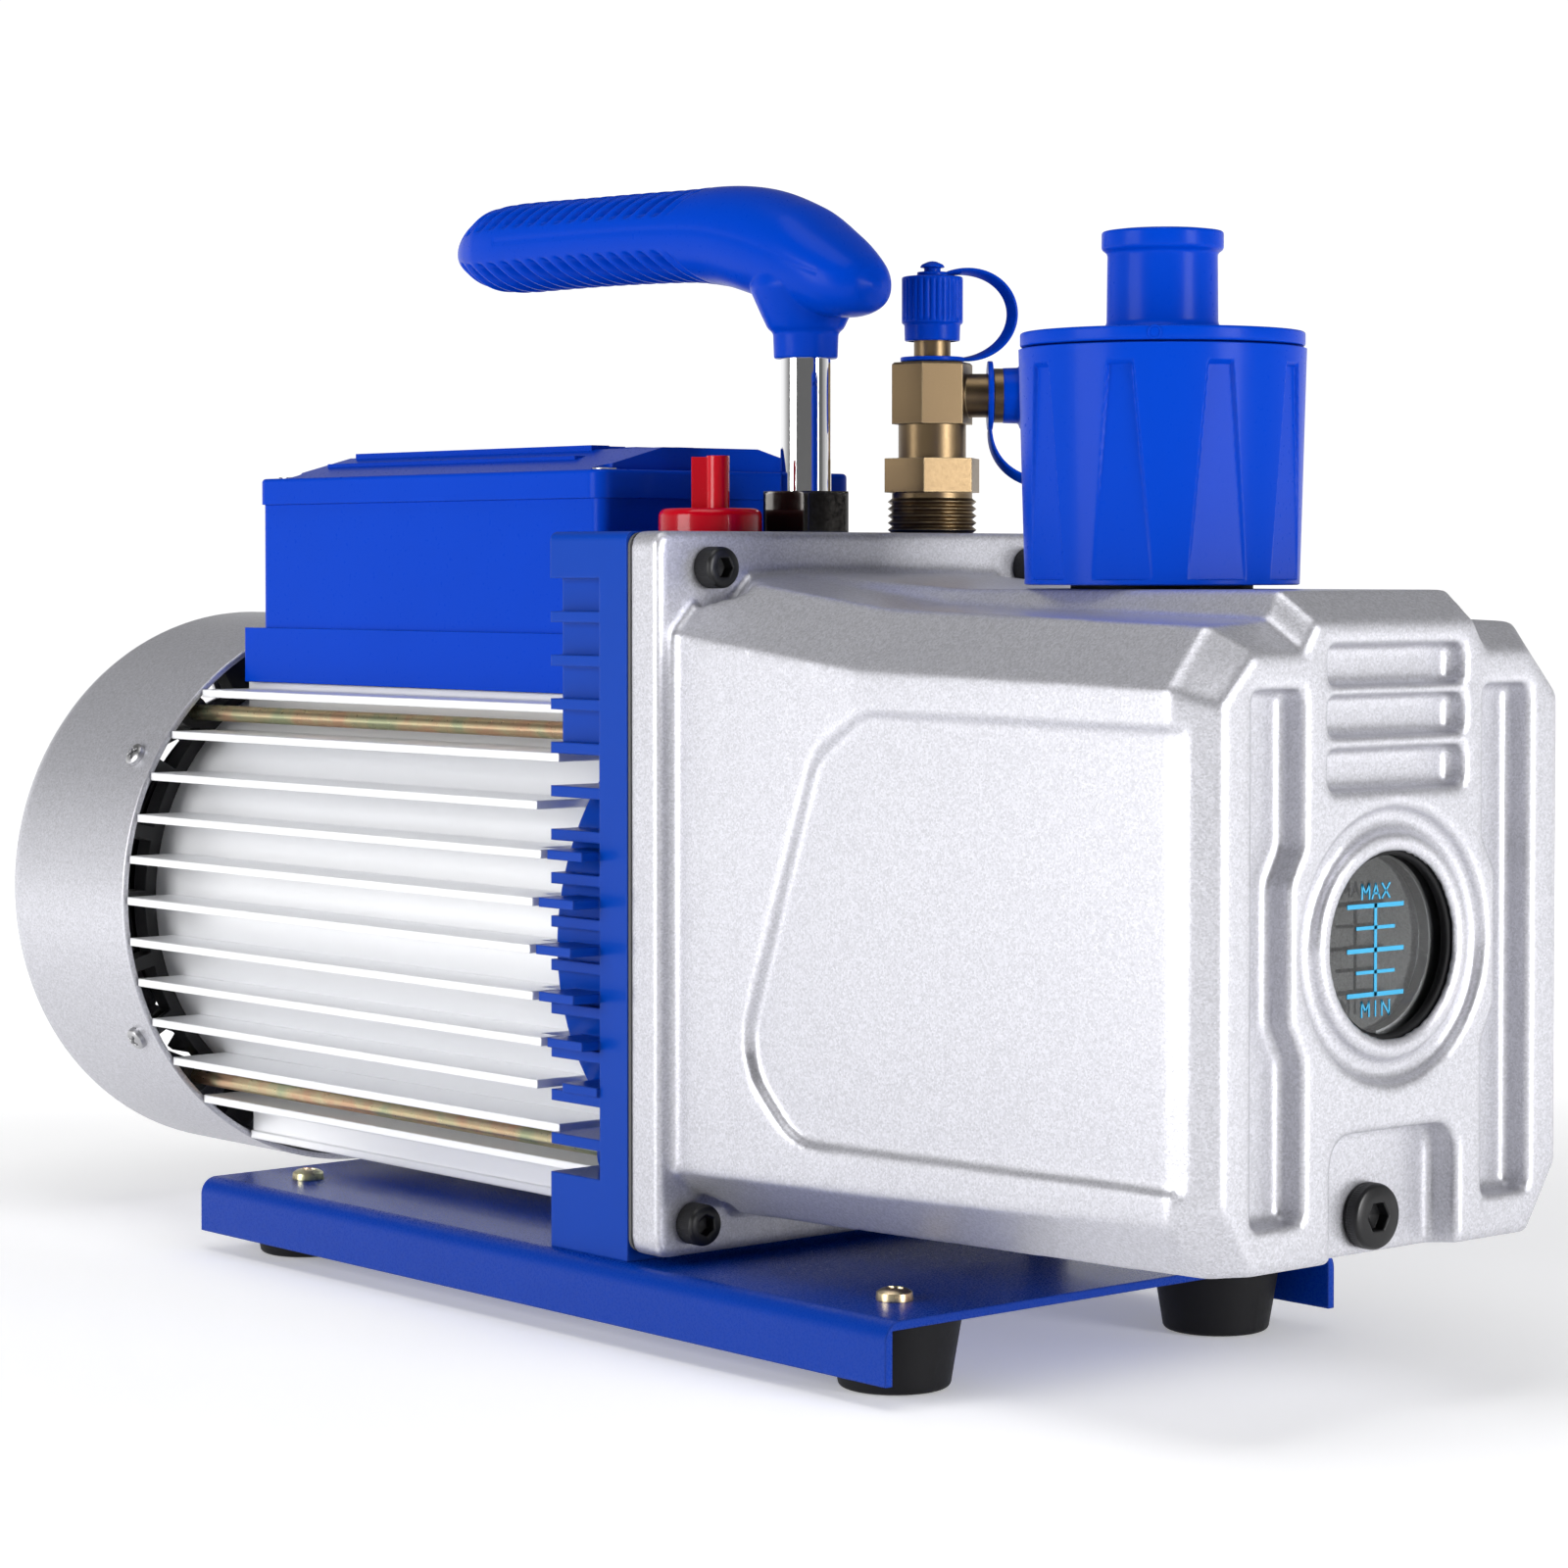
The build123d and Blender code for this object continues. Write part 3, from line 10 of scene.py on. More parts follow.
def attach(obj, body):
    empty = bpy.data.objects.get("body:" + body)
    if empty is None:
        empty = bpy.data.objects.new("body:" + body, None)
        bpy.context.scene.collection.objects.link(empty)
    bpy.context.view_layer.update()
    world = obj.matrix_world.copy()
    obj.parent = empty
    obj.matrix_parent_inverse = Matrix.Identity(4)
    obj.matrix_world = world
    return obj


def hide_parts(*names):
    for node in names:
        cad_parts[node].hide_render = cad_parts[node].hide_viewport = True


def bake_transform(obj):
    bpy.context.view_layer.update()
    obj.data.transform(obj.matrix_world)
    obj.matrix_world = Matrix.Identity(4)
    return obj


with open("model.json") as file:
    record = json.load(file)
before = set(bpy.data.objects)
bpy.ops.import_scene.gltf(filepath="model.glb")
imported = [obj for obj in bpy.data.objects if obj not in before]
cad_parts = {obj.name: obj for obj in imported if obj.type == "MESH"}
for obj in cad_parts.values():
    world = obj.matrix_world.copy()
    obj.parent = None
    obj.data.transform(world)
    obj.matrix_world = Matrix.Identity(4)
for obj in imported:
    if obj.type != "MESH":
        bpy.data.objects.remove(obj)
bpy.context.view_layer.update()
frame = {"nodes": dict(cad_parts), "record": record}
NODES = frame["nodes"]

# Sizes are millimetres unless a name says otherwise; places are those of the CAD frame.
MM = 0.001                           # millimetres to metres
ZM = 82.6                            # height of the motor and pump shaft
PLATE_TOP = 17.2                     # top face of the base plate
FLANGE_X = 53.7                      # front face of the tank flange
DRAIN_X, DRAIN_Z = 196.2, 39.6       # seat of the drain plug head
TOP = (31.0, 38.3)                   # the inlet tee, X and Y
TURN = 49.4                          # direction of its side port, degrees from +X towards +Y
TEE_Z = 203.6                        # height of the side port axis
FILTER = (140.8, 0.0)                # the exhaust filter, X and Y
FILTER_Z0, FILTER_Z1 = 160.8, 208.4  # bottom and rim of its can
FLUTES = 9                           # wedges around the can
FLUTE_TURN = -22.6                   # direction of the first one, degrees
FLUTE_Z, FLUTE_H = 162.0, 42.0       # their foot and height
GLASS_X, GLASS_Z = 199.2, 92.2       # outer face and centre of the sight glass


# ------------------------------------------------------------------ materials
def node(tree, kind, inputs=None, **props):
    """New shader node; inputs are numbers, colours or the sockets to link."""
    n = tree.nodes.new(kind)
    for key, value in props.items():
        setattr(n, key, value)
    for key, value in (inputs or {}).items():
        if isinstance(value, bpy.types.NodeSocket):
            tree.links.new(value, n.inputs[key])
        else:
            n.inputs[key].default_value = value
    return n


def finish(name, color, rough=0.4, spec=0.5, metal=0.0, coat=0.0, coat_rough=0.05, edge=0.25, bevel=0.5,
           grain=0.0, grain_scale=900.0, rough_var=0.08, tone=0.06, tone_scale=30.0, sparkle=0.0,
           brushed=None, edge_wear_and_highlight_color=None, ior=1.5, dust=0.0):
    """Painted, moulded or machined surface: tone drift, fine grain, edges lightened partly as wear and partly
    as a painted highlight, rounded corners.
    """
    m = bpy.data.materials.new(name)
    m.use_nodes = True
    t = m.node_tree
    t.nodes.clear()
    out = node(t, "ShaderNodeOutputMaterial")
    p = node(t, "ShaderNodeBsdfPrincipled")
    t.links.new(p.outputs[0], out.inputs[0])
    p.inputs["Metallic"].default_value = metal
    p.inputs["IOR"].default_value = ior
    p.inputs["Specular IOR Level"].default_value = spec
    p.inputs["Coat Weight"].default_value = coat
    p.inputs["Coat Roughness"].default_value = coat_rough
    tc = node(t, "ShaderNodeTexCoord")
    at = tc.outputs["Object"]
    if brushed:
        mp = node(t, "ShaderNodeMapping", {"Vector": at, "Scale": brushed})
        fine_at = mp.outputs[0]
    else:
        fine_at = at
    broad = node(t, "ShaderNodeTexNoise", {"Vector": at, "Scale": tone_scale, "Detail": 3.0,
                                           "Roughness": 0.55})
    fine = node(t, "ShaderNodeTexNoise", {"Vector": fine_at, "Scale": grain_scale, "Detail": 2.0,
                                          "Roughness": 0.6})
    dark = [c * (1 - tone) for c in color]
    light = [min(1.0, c * (1 + tone)) for c in color]
    ramp = node(t, "ShaderNodeMix", {"Factor": broad.outputs["Fac"]}, data_type="RGBA")
    ramp.inputs[6].default_value = (*dark, 1)
    ramp.inputs[7].default_value = (*light, 1)
    shade = ramp.outputs[2]
    if sparkle:
        cell = node(t, "ShaderNodeTexVoronoi", {"Vector": at, "Scale": 2600.0})
        flake = node(t, "ShaderNodeMapRange", {"Value": cell.outputs["Color"], "From Min": 0.1,
                                               "From Max": 0.9, "To Min": 1.0 - sparkle, "To Max": 1.0
                                               + sparkle})
        mul = node(t, "ShaderNodeMix", {"Factor": 1.0}, data_type="RGBA", blend_type="MULTIPLY")
        t.links.new(shade, mul.inputs[6])
        t.links.new(flake.outputs[0], mul.inputs[7])
        shade = mul.outputs[2]
    if dust:
        geo = node(t, "ShaderNodeNewGeometry")
        up = node(t, "ShaderNodeSeparateXYZ", {"Vector": geo.outputs["Normal"]})
        fall = node(t, "ShaderNodeMapRange", {"Value": up.outputs["Z"], "From Min": 0.6, "From Max": 1.0,
                                              "To Max": dust})
        spots = node(t, "ShaderNodeTexNoise", {"Vector": at, "Scale": 160.0, "Detail": 4.0})
        amount = node(t, "ShaderNodeMath", {0: fall.outputs[0], 1: spots.outputs["Fac"]},
                      operation="MULTIPLY")
        mix = node(t, "ShaderNodeMix", {"Factor": amount.outputs[0]}, data_type="RGBA")
        t.links.new(shade, mix.inputs[6])
        mix.inputs[7].default_value = (0.75, 0.76, 0.78, 1)
        shade = mix.outputs[2]
    round_n = node(t, "ShaderNodeBevel", {"Radius": bevel * MM}, samples=4)
    # Rounded edges are mixed towards a lighter tint: partly wear, partly a painted highlight standing in for
    # light catching the edges.
    if edge:
        geo = node(t, "ShaderNodeNewGeometry")
        wide = node(t, "ShaderNodeBevel", {"Radius": bevel * 1.6 * MM}, samples=4)
        dot = node(t, "ShaderNodeVectorMath", {0: wide.outputs[0], 1: geo.outputs["True Normal"]},
                   operation="DOT_PRODUCT")
        rim = node(t, "ShaderNodeMapRange", {"Value": dot.outputs["Value"], "From Min": 0.995,
                                             "From Max": 0.80, "To Min": 0.0, "To Max": edge})
        edge_wear_and_highlight = node(t, "ShaderNodeMath", {0: rim.outputs[0], 1: broad.outputs["Fac"]},
                   operation="MULTIPLY")
        mix = node(t, "ShaderNodeMix", {"Factor": edge_wear_and_highlight.outputs[0]}, data_type="RGBA")
        t.links.new(shade, mix.inputs[6])
        wear_and_highlight_tint = edge_wear_and_highlight_color or [min(1.0, c * 1.6 + 0.06) for c in color]
        mix.inputs[7].default_value = (*wear_and_highlight_tint, 1)
        shade = mix.outputs[2]
    t.links.new(shade, p.inputs["Base Color"])
    rr = node(t, "ShaderNodeMapRange", {"Value": fine.outputs["Fac"],
                                        "To Min": max(0.0, rough - rough_var),
                                        "To Max": min(1.0, rough + rough_var)})
    t.links.new(rr.outputs[0], p.inputs["Roughness"])
    if grain:
        bump = node(t, "ShaderNodeBump", {"Height": fine.outputs["Fac"], "Strength": grain,
                                          "Distance": 0.0002, "Normal": round_n.outputs[0]})
        t.links.new(bump.outputs[0], p.inputs["Normal"])
    else:
        t.links.new(round_n.outputs[0], p.inputs["Normal"])
    return m


# Edge amounts and edge colours lighten rounded edges, partly as wear and partly as a painted highlight; on
# the silver paint, black chrome and brass they are mostly a painted highlight.
FINISHES = {
    "blue_paint": dict(color=(0.000, 0.036, 0.32), rough=0.28, spec=0.12, coat=0.10, edge=0.15, bevel=0.9,
                       grain=0.02, grain_scale=2200),
    "bracket_paint": dict(color=(0.000, 0.042, 0.34), rough=0.34, spec=0.10, coat=0.05, edge=0.25,
                          bevel=0.8, grain=0.03, grain_scale=1600),
    "silver_paint": dict(color=(0.56, 0.56, 0.60), rough=0.36, spec=0.4, metal=0.66, sparkle=0.15,
                         edge=0.75, bevel=1.1, grain=0.22, grain_scale=1900, tone=0.012,
                         edge_wear_and_highlight_color=(0.86, 0.86, 0.90)),
    "black_paint": dict(color=(0.012, 0.012, 0.013), rough=0.4, edge=0.4, grain=0.1),
    "blue_plastic": dict(color=(0.0, 0.042, 0.44), rough=0.30, spec=0.06, ior=1.4, coat=0.02,
                         coat_rough=0.12, edge=0.12, edge_wear_and_highlight_color=(0.05, 0.16, 0.80), bevel=0.35,
                         grain=0.03, tone=0.04),
    "red_plastic": dict(color=(0.52, 0.000, 0.010), rough=0.24, spec=0.15, coat=0.25, edge=0.25,
                        bevel=0.4, tone=0.03),
    "black_plastic": dict(color=(0.012, 0.012, 0.013), rough=0.42, edge=0.2, grain=0.15, bevel=0.4),
    "cyan_print": dict(color=(0.03, 0.36, 0.62), rough=0.5, edge=0, bevel=0.1),
    "vane_composite": dict(color=(0.10, 0.065, 0.04), rough=0.5, grain=0.3),
    "gasket_paper": dict(color=(0.10, 0.10, 0.10), rough=0.8, grain=0.3, bevel=0.1),
    "filter_felt": dict(color=(0.70, 0.68, 0.62), rough=0.95, grain=0.8, grain_scale=1800),
    "rubber_black": dict(color=(0.006, 0.006, 0.007), rough=0.55, spec=0.2, grain=0.2, grain_scale=700,
                         edge=0.10, bevel=0.8, dust=0.04),
    "chrome_plate": dict(color=(0.86, 0.86, 0.87), rough=0.05, metal=1.0, edge=0.0, bevel=0.3,
                         rough_var=0.03, tone=0.01),
    "black_chrome": dict(color=(0.020, 0.018, 0.016), rough=0.10, metal=0.8, coat=0.2, edge=0.5,
                         bevel=0.6, edge_wear_and_highlight_color=(0.75, 0.72, 0.70)),
    "steel_bright": dict(color=(0.60, 0.60, 0.61), rough=0.25, metal=1.0, brushed=(1, 12, 12), grain=0.05,
                         bevel=0.3),
    "steel_bolt": dict(color=(0.46, 0.46, 0.47), rough=0.34, metal=1.0, bevel=0.3),
    "black_oxide": dict(color=(0.012, 0.012, 0.013), rough=0.32, spec=0.4, metal=0.3, edge=0.35,
                        bevel=0.35, grain=0.08),
    "lamination_steel": dict(color=(0.22, 0.22, 0.24), rough=0.5, metal=0.9, brushed=(90, 1, 1),
                             grain=0.5, grain_scale=60),
    "barrel_aluminium": dict(color=(0.89, 0.895, 0.91), rough=0.38, spec=0.4, metal=0.5,
                             brushed=(1, 30, 30), grain=0.04, grain_scale=420, edge=0.12, bevel=0.6,
                             tone=0.008),
    "cast_grey": dict(color=(0.22, 0.22, 0.23), rough=0.5, metal=0.8, grain=0.3, bevel=0.5),
    "brass_bright": dict(color=(0.175, 0.122, 0.066), rough=0.38, metal=1.0, edge=0.6, bevel=0.35,
                         grain=0.05, grain_scale=1500, tone=0.10, edge_wear_and_highlight_color=(0.85, 0.70, 0.42)),
    "copper_wire": dict(color=(0.50, 0.17, 0.07), rough=0.35, metal=1.0, brushed=(8, 60, 60), grain=0.5,
                        grain_scale=40),
}
M = {name: finish(name, **look) for name, look in FINISHES.items()}


def passivated(name):
    """Yellow zinc with the drifting green and pink of its passivation."""
    # Its lighter edges are partly wear, partly a painted highlight.
    m = finish(name, (0.58, 0.47, 0.27), 0.30, metal=1.0, edge=0.3, bevel=0.3, tone=0.2, tone_scale=55,
               edge_wear_and_highlight_color=(0.8, 0.72, 0.55))
    t = m.node_tree
    p = t.nodes["Principled BSDF"]
    base = p.inputs["Base Color"].links[0].from_socket
    tc = node(t, "ShaderNodeTexCoord")
    drift = node(t, "ShaderNodeTexNoise", {"Vector": tc.outputs["Object"], "Scale": 120.0, "Detail": 3.0})
    hue = node(t, "ShaderNodeValToRGB", {"Fac": drift.outputs["Fac"]})
    hue.color_ramp.elements[0].position = 0.36
    hue.color_ramp.elements[0].color = (0.36, 0.50, 0.32, 1)
    hue.color_ramp.elements[1].position = 0.66
    hue.color_ramp.elements[1].color = (0.72, 0.38, 0.26, 1)
    mid = hue.color_ramp.elements.new(0.5)
    mid.color = (0.66, 0.58, 0.36, 1)
    mix = node(t, "ShaderNodeMix", {"Factor": 0.55}, data_type="RGBA")
    t.links.new(base, mix.inputs[6])
    t.links.new(hue.outputs[0], mix.inputs[7])
    t.links.new(mix.outputs[2], p.inputs["Base Color"])
    return m


def glass():
    """Clear glass with a faint smear that lets light through to the pieces behind it."""
    m = bpy.data.materials.new("clear_glass")
    m.use_nodes = True
    t = m.node_tree
    t.nodes.clear()
    out = node(t, "ShaderNodeOutputMaterial")
    tc = node(t, "ShaderNodeTexCoord")
    smear = node(t, "ShaderNodeTexNoise", {"Vector": tc.outputs["Object"], "Scale": 220.0, "Detail": 3.0})
    rr = node(t, "ShaderNodeMapRange", {"Value": smear.outputs["Fac"], "To Min": 0.0, "To Max": 0.03})
    p = node(t, "ShaderNodeBsdfPrincipled", {"Base Color": (0.96, 0.99, 0.985, 1),
                                             "Transmission Weight": 1.0, "IOR": 1.48,
                                             "Roughness": rr.outputs[0]})
    clear = node(t, "ShaderNodeBsdfTransparent")
    path = node(t, "ShaderNodeLightPath")
    mix = node(t, "ShaderNodeMixShader", {0: path.outputs["Is Shadow Ray"], 1: p.outputs[0],
                                          2: clear.outputs[0]})
    t.links.new(mix.outputs[0], out.inputs[0])
    return m


M["clear_glass"] = glass()
M["zinc_yellow"] = passivated("zinc_passivated")
for sub in frame["record"]["subparts"]:
    ob = NODES[sub["node"]]
    ob.data.materials.clear()
    ob.data.materials.append(M[sub["material_slot"]])


def smooth(ob, angle=35.0):
    """Smooth shading with hard edges kept above the angle."""
    me = ob.data
    me.polygons.foreach_set("use_smooth", [True] * len(me.polygons))
    bm = bmesh.new()
    bm.from_mesh(me)
    limit = math.radians(angle)
    for e in bm.edges:
        e.smooth = not (len(e.link_faces) != 2 or e.calc_face_angle(0) > limit)
    bm.to_mesh(me)
    bm.free()


# ------------------------------------------------------------------ mesh helpers
def piece(name, verts, faces, mat, body, nodes=(), angle=40.0):
    """Mesh piece given in millimetres."""
    me = bpy.data.meshes.new(name)
    me.from_pydata([tuple(c * MM for c in v) for v in verts], [], [tuple(f) for f in faces])
    me.materials.append(M[mat])
    me.validate()
    ob = bpy.data.objects.new(name, me)
    bpy.context.scene.collection.objects.link(ob)
    bm = bmesh.new()
    bm.from_mesh(me)
    bmesh.ops.recalc_face_normals(bm, faces=bm.faces)
    bm.to_mesh(me)
    bm.free()
    smooth(ob, angle)
    if body:
        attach(ob, body)
    if nodes:
        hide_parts(*nodes)
    return ob


def join(parts):
    """Several (verts, faces) in one."""
    verts, faces = [], []
    for v, f in parts:
        base = len(verts)
        verts += [tuple(c) for c in v]
        faces += [tuple(i + base for i in face) for face in f]
    return verts, faces


def moved(part, matrix):
    """The same (verts, faces) in another place."""
    return [tuple(matrix @ Vector(v)) for v in part[0]], part[1]


def rings(rows, closed=True, caps=True, loop=False):
    """Skin over rows of points that all hold the same number; each row is a ring when closed."""
    n = len(rows[0])
    verts = [tuple(p) for row in rows for p in row]
    faces = []
    last = len(rows) if loop else len(rows) - 1
    for i in range(last):
        k = (i + 1) % len(rows)
        for j in range(n if closed else n - 1):
            q = (j + 1) % n
            faces.append((i * n + j, i * n + q, k * n + q, k * n + j))
    if caps and closed and not loop:
        faces.append(tuple(range(n - 1, -1, -1)))
        faces.append(tuple((len(rows) - 1) * n + j for j in range(n)))
    return verts, faces


def lathe(profile, n=96, wobble=None, caps=False):
    """Turn (radius, height) pairs around Z; wobble(angle, height, radius) is added to the radius."""
    rows = []
    for r, z in profile:
        row = []
        for j in range(n):
            a = 2 * math.pi * j / n
            rr = r + (wobble(a, z, r) if wobble else 0.0)
            row.append((rr * math.cos(a), rr * math.sin(a), z))
        rows.append(row)
    return rings(rows, caps=caps)


def rounded(points, radius, steps=5):
    """Open profile with its inner corners rounded."""
    out = [points[0]]
    for a, b, c in zip(points, points[1:], points[2:]):
        va, vc = Vector(a) - Vector(b), Vector(c) - Vector(b)
        r = min(radius, va.length * 0.45, vc.length * 0.45)
        if r < 1e-4:
            out.append(b)
            continue
        p, q = Vector(b) + va.normalized() * r, Vector(b) + vc.normalized() * r
        for i in range(steps + 1):
            t = i / steps
            out.append(tuple(p * (1 - t) ** 2 + Vector(b) * 2 * t * (1 - t) + q * t * t))
    out.append(points[-1])
    return out


def thread(z0, length, r, pitch, depth, n=40, per=10):
    """Helical thread around Z from the given height."""
    rows = []
    count = int(length / pitch * per)
    for i in range(count + 1):
        z = z0 + length * i / count
        row = []
        for j in range(n):
            a = 2 * math.pi * j / n
            ph = ((z - z0) / pitch - j / n) % 1.0
            cut = depth * (1 - abs(2 * ph - 1) ** 0.8)
            ease = min(1.0, i / per, (count - i) / per)
            row.append(((r - cut * ease) * math.cos(a), (r - cut * ease) * math.sin(a), z))
        rows.append(row)
    return rings(rows)


def at(x, y, z, axis="Z", turn=0.0):
    """Placement that stands a Z-built part on an axis."""
    m = Matrix.Translation((x, y, z))
    if axis == "X":
        m = m @ Matrix.Rotation(math.radians(90), 4, "Y")
    return m @ Matrix.Rotation(math.radians(turn), 4, "Z")


def pchip(xs, ys, at_x):
    """Smooth curve through the points, without overshoot."""
    xs, ys, q = np.array(xs, float), np.array(ys, float), np.array(at_x, float)
    h, d = np.diff(xs), np.diff(ys) / np.diff(xs)
    m = np.zeros(len(xs))
    for i in range(1, len(xs) - 1):
        if d[i - 1] * d[i] > 0:
            w1, w2 = 2 * h[i] + h[i - 1], h[i] + 2 * h[i - 1]
            m[i] = (w1 + w2) / (w1 / d[i - 1] + w2 / d[i])
    m[0], m[-1] = d[0], d[-1]
    i = np.clip(np.searchsorted(xs, q) - 1, 0, len(h) - 1)
    t = (q - xs[i]) / h[i]
    a, b = (1 + 2 * t) * (1 - t) ** 2, t * (1 - t) ** 2
    c, e = t * t * (3 - 2 * t), t * t * (t - 1)
    return a * ys[i] + b * h[i] * m[i] + c * ys[i + 1] + e * h[i] * m[i + 1]


# ------------------------------------------------------------------ carrying handle grip
# stations along the grip: X, height of the centre, half height, half width
GRIP = ((-97.8, 240.6, 0.9, 1.2), (-95.0, 240.8, 3.0, 3.8), (-90.0, 241.1, 6.0, 7.2),
        (-84.0, 241.3, 8.9, 9.8), (-79.0, 241.4, 10.2, 11.1), (-70.0, 241.4, 10.7, 11.8),
        (-40.0, 241.1, 10.5, 12.3), (-10.0, 240.4, 10.6, 12.6), (6.0, 239.4, 11.4, 12.8),
        (20.0, 236.8, 12.3, 12.9), (32.0, 233.2, 11.9, 12.5), (42.0, 229.3, 9.9, 11.3),
        (49.0, 226.9, 7.2, 8.8), (53.0, 226.0, 4.2, 5.4), (54.6, 225.8, 1.0, 1.4))
GROOVE_PITCH = 5.3
GROOVE_DEPTH = 2.3
GROOVE_X0, GROOVE_X1 = -88.0, 3.0    # the grooves fade out at both ends
POST_X = 31.0                        # the collar sits on the handle post


def grip():
    """Moulded grip with slanted finger grooves above and below, a parting crease and its collar."""
    cols = list(zip(*GRIP))
    u = np.linspace(0, 1, 520)
    xs = np.interp(u, [0, 0.08, 0.80, 1], [GRIP[0][0], -92.0, 38.0, GRIP[-1][0]])
    zc, hh, ww = (pchip(cols[0], cols[k], xs) for k in (1, 2, 3))
    n = 160
    rows = []
    for x, z, h, w in zip(xs, zc, hh, ww):
        row = []
        for j in range(n):
            a = 2 * math.pi * j / n
            c, s = math.cos(a), math.sin(a)
            e = 0.90
            y = w * math.copysign(abs(c) ** e, c)
            dz = h * math.copysign(abs(s) ** e, s)
            cut = 0.0
            reach = abs(s)
            if reach > 0.32:
                slant = x + (1 - reach) * 9.0
                near = min(1.0, max(0.0, (slant - GROOVE_X0) / 3.0), max(0.0, (GROOVE_X1 - slant) / 3.0))
                wave = 0.5 - 0.5 * math.cos(2 * math.pi * (slant / GROOVE_PITCH))
                fade = min(1.0, (reach - 0.32) / 0.22)
                cut = GROOVE_DEPTH * near * fade * wave ** 1.6
            crease = 0.22 * math.exp(-((s * h - 0.6) / 0.45) ** 2) * (1 if -70 < x < 46 else 0)
            k = 1 - (cut + crease) / max(h, 4.0)
            row.append((x, y * k, z + dz * k))
        rows.append(row)
    body = rings(rows)
    collar = lathe(rounded([(5.75, 210.7), (7.1, 210.7), (7.3, 216.4), (8.5, 217.4), (10.2, 221.0),
                            (12.6, 226.4), (11.0, 233.0)], 1.0, 5), 96)
    collar = moved(collar, at(POST_X, 0, 0))
    return join([body, collar])


piece("handle_grip_moulded", *grip(), "blue_plastic", "body", ["handle_grip"])


# ------------------------------------------------------------------ exhaust filter
def flute(a, z, r):
    """How far the flat wedges around the wall, narrow at the top, pull it in."""
    t = (z - FLUTE_Z) / FLUTE_H
    if not 0 <= t <= 1.02:
        return 0.0
    step = math.radians(360.0 / FLUTES)
    d = (a - math.radians(FLUTE_TURN)) % step
    d = min(d, step - d)
    half = 6.0 - 3.6 * t
    off = r * math.sin(d)
    flat = (26.95 + 0.95 * t) / math.cos(d)
    if off >= half + 0.35:
        return 0.0
    edge = min(1.0, (half + 0.35 - off) / 0.35)
    top = min(1.0, (1.02 - t) / 0.02)
    return (min(r, flat) - r) * edge * top


def filter_can():
    """Tapered can with its wedges, open at the top, and the spout under it."""
    zs = sorted(set([161.0, 161.4, 161.8] + [FLUTE_Z + FLUTE_H * i / 60 for i in range(61)]
                    + [203.6, 204.2, 204.6, 205.0, 205.4, 207.4, 207.9, 208.2]))
    outer = [(27.7 + 1.3 * (z - FILTER_Z0) / (FILTER_Z1 - FILTER_Z0), z) for z in zs]
    inner = [(25.4, FILTER_Z1), (25.4, FILTER_Z0 + 3.0), (10.4, FILTER_Z0 + 3.0)]
    prof = [(10.4, FILTER_Z0), (27.3, FILTER_Z0)] + outer + [(28.5, FILTER_Z1)] + inner
    wall = lathe(prof, 720, flute)
    spout = lathe([(10.4, 164.0), (10.4, 148.0), (13.0, 148.0), (13.0, 161.0)], 96)
    return moved(join([wall, spout]), at(*FILTER, 0))


def filter_top():
    """Lid disc with a moulded edge and the open outlet neck with its rolled lip."""
    prof = rounded([(9.3, 202.4), (25.3, 202.4), (25.3, 208.7), (28.7, 208.7), (28.7, 211.6),
                    (12.4, 211.9), (11.25, 213.4), (11.1, 227.5), (12.3, 228.3), (12.3, 231.9),
                    (9.3, 232.3), (9.3, 202.4)], 0.6, 4)
    return moved(lathe(prof, 200), at(*FILTER, 0))


piece("filter_can_moulded", *filter_can(), "blue_plastic", "exhaust_filter", ["filter_body"], 28)
piece("filter_lid_moulded", *filter_top(), "blue_plastic", "exhaust_filter", ["filter_lid"], 50)
mark = lathe(rounded([(1.0, 0.0), (1.0, 0.28), (1.45, 0.28), (1.45, 0.0)], 0.1, 2), 32)
gate = Matrix.Rotation(math.radians(-49), 4, "Z") @ at(28.55, 0, 210.2, "X")
toward = Matrix.Translation((*FILTER, 0)) @ gate
piece("filter_gate_mark", *moved(mark, toward), "blue_plastic", "exhaust_filter")


# ------------------------------------------------------------------ caps and their straps
def knurled(z0, z1, r, n=30):
    """Hollow cap with a plain foot and n grooves around its wall."""
    def ribs(a, z, rr):
        if z0 + 4.6 < z < z1 - 1.0 and rr > r - 0.9:
            return -0.32 * (0.5 + 0.5 * math.cos(n * a)) ** 3
        return 0.0

    prof = rounded([(5.45, z0), (6.3, z0), (6.4, z0 + 3.7), (r, z0 + 4.1), (r, z1 - 0.2), (r - 0.9, z1),
                    (0.4, z1)], 0.5, 4)
    dense = []
    for (r0, a0), (r1, a1) in zip(prof, prof[1:]):
        k = max(1, int(abs(a1 - a0) / 0.6))
        dense += [(r0 + (r1 - r0) * i / k, a0 + (a1 - a0) * i / k) for i in range(k)]
    dense.append(prof[-1])
    return lathe(dense, n * 10, ribs)


def button(z):
    """Mushroom button that holds the strap on a cap."""
    return lathe(rounded([(1.9, z - 0.2), (1.9, z + 1.9), (2.9, z + 2.0), (2.5, z + 2.7), (0.9, z + 3.4),
                          (0.05, z + 3.5)], 0.3, 3), 48)


SIDE = at(*TOP, TEE_Z) @ Matrix.Rotation(math.radians(TURN), 4, "Z") @ at(0, 0, 0, "X")
cap_top = moved(join([knurled(216.0, 230.8, 7.0), button(230.8)]), at(*TOP, 0))
piece("cap_top_moulded", *cap_top, "blue_plastic", "cap_top", ["inlet_cap_top"], 30)
cap_side = moved(join([knurled(16.0, 33.6, 7.7, 32), button(33.6)]), SIDE)
piece("cap_side_moulded", *cap_side, "blue_plastic", "cap_side", ["inlet_cap_side"], 30)


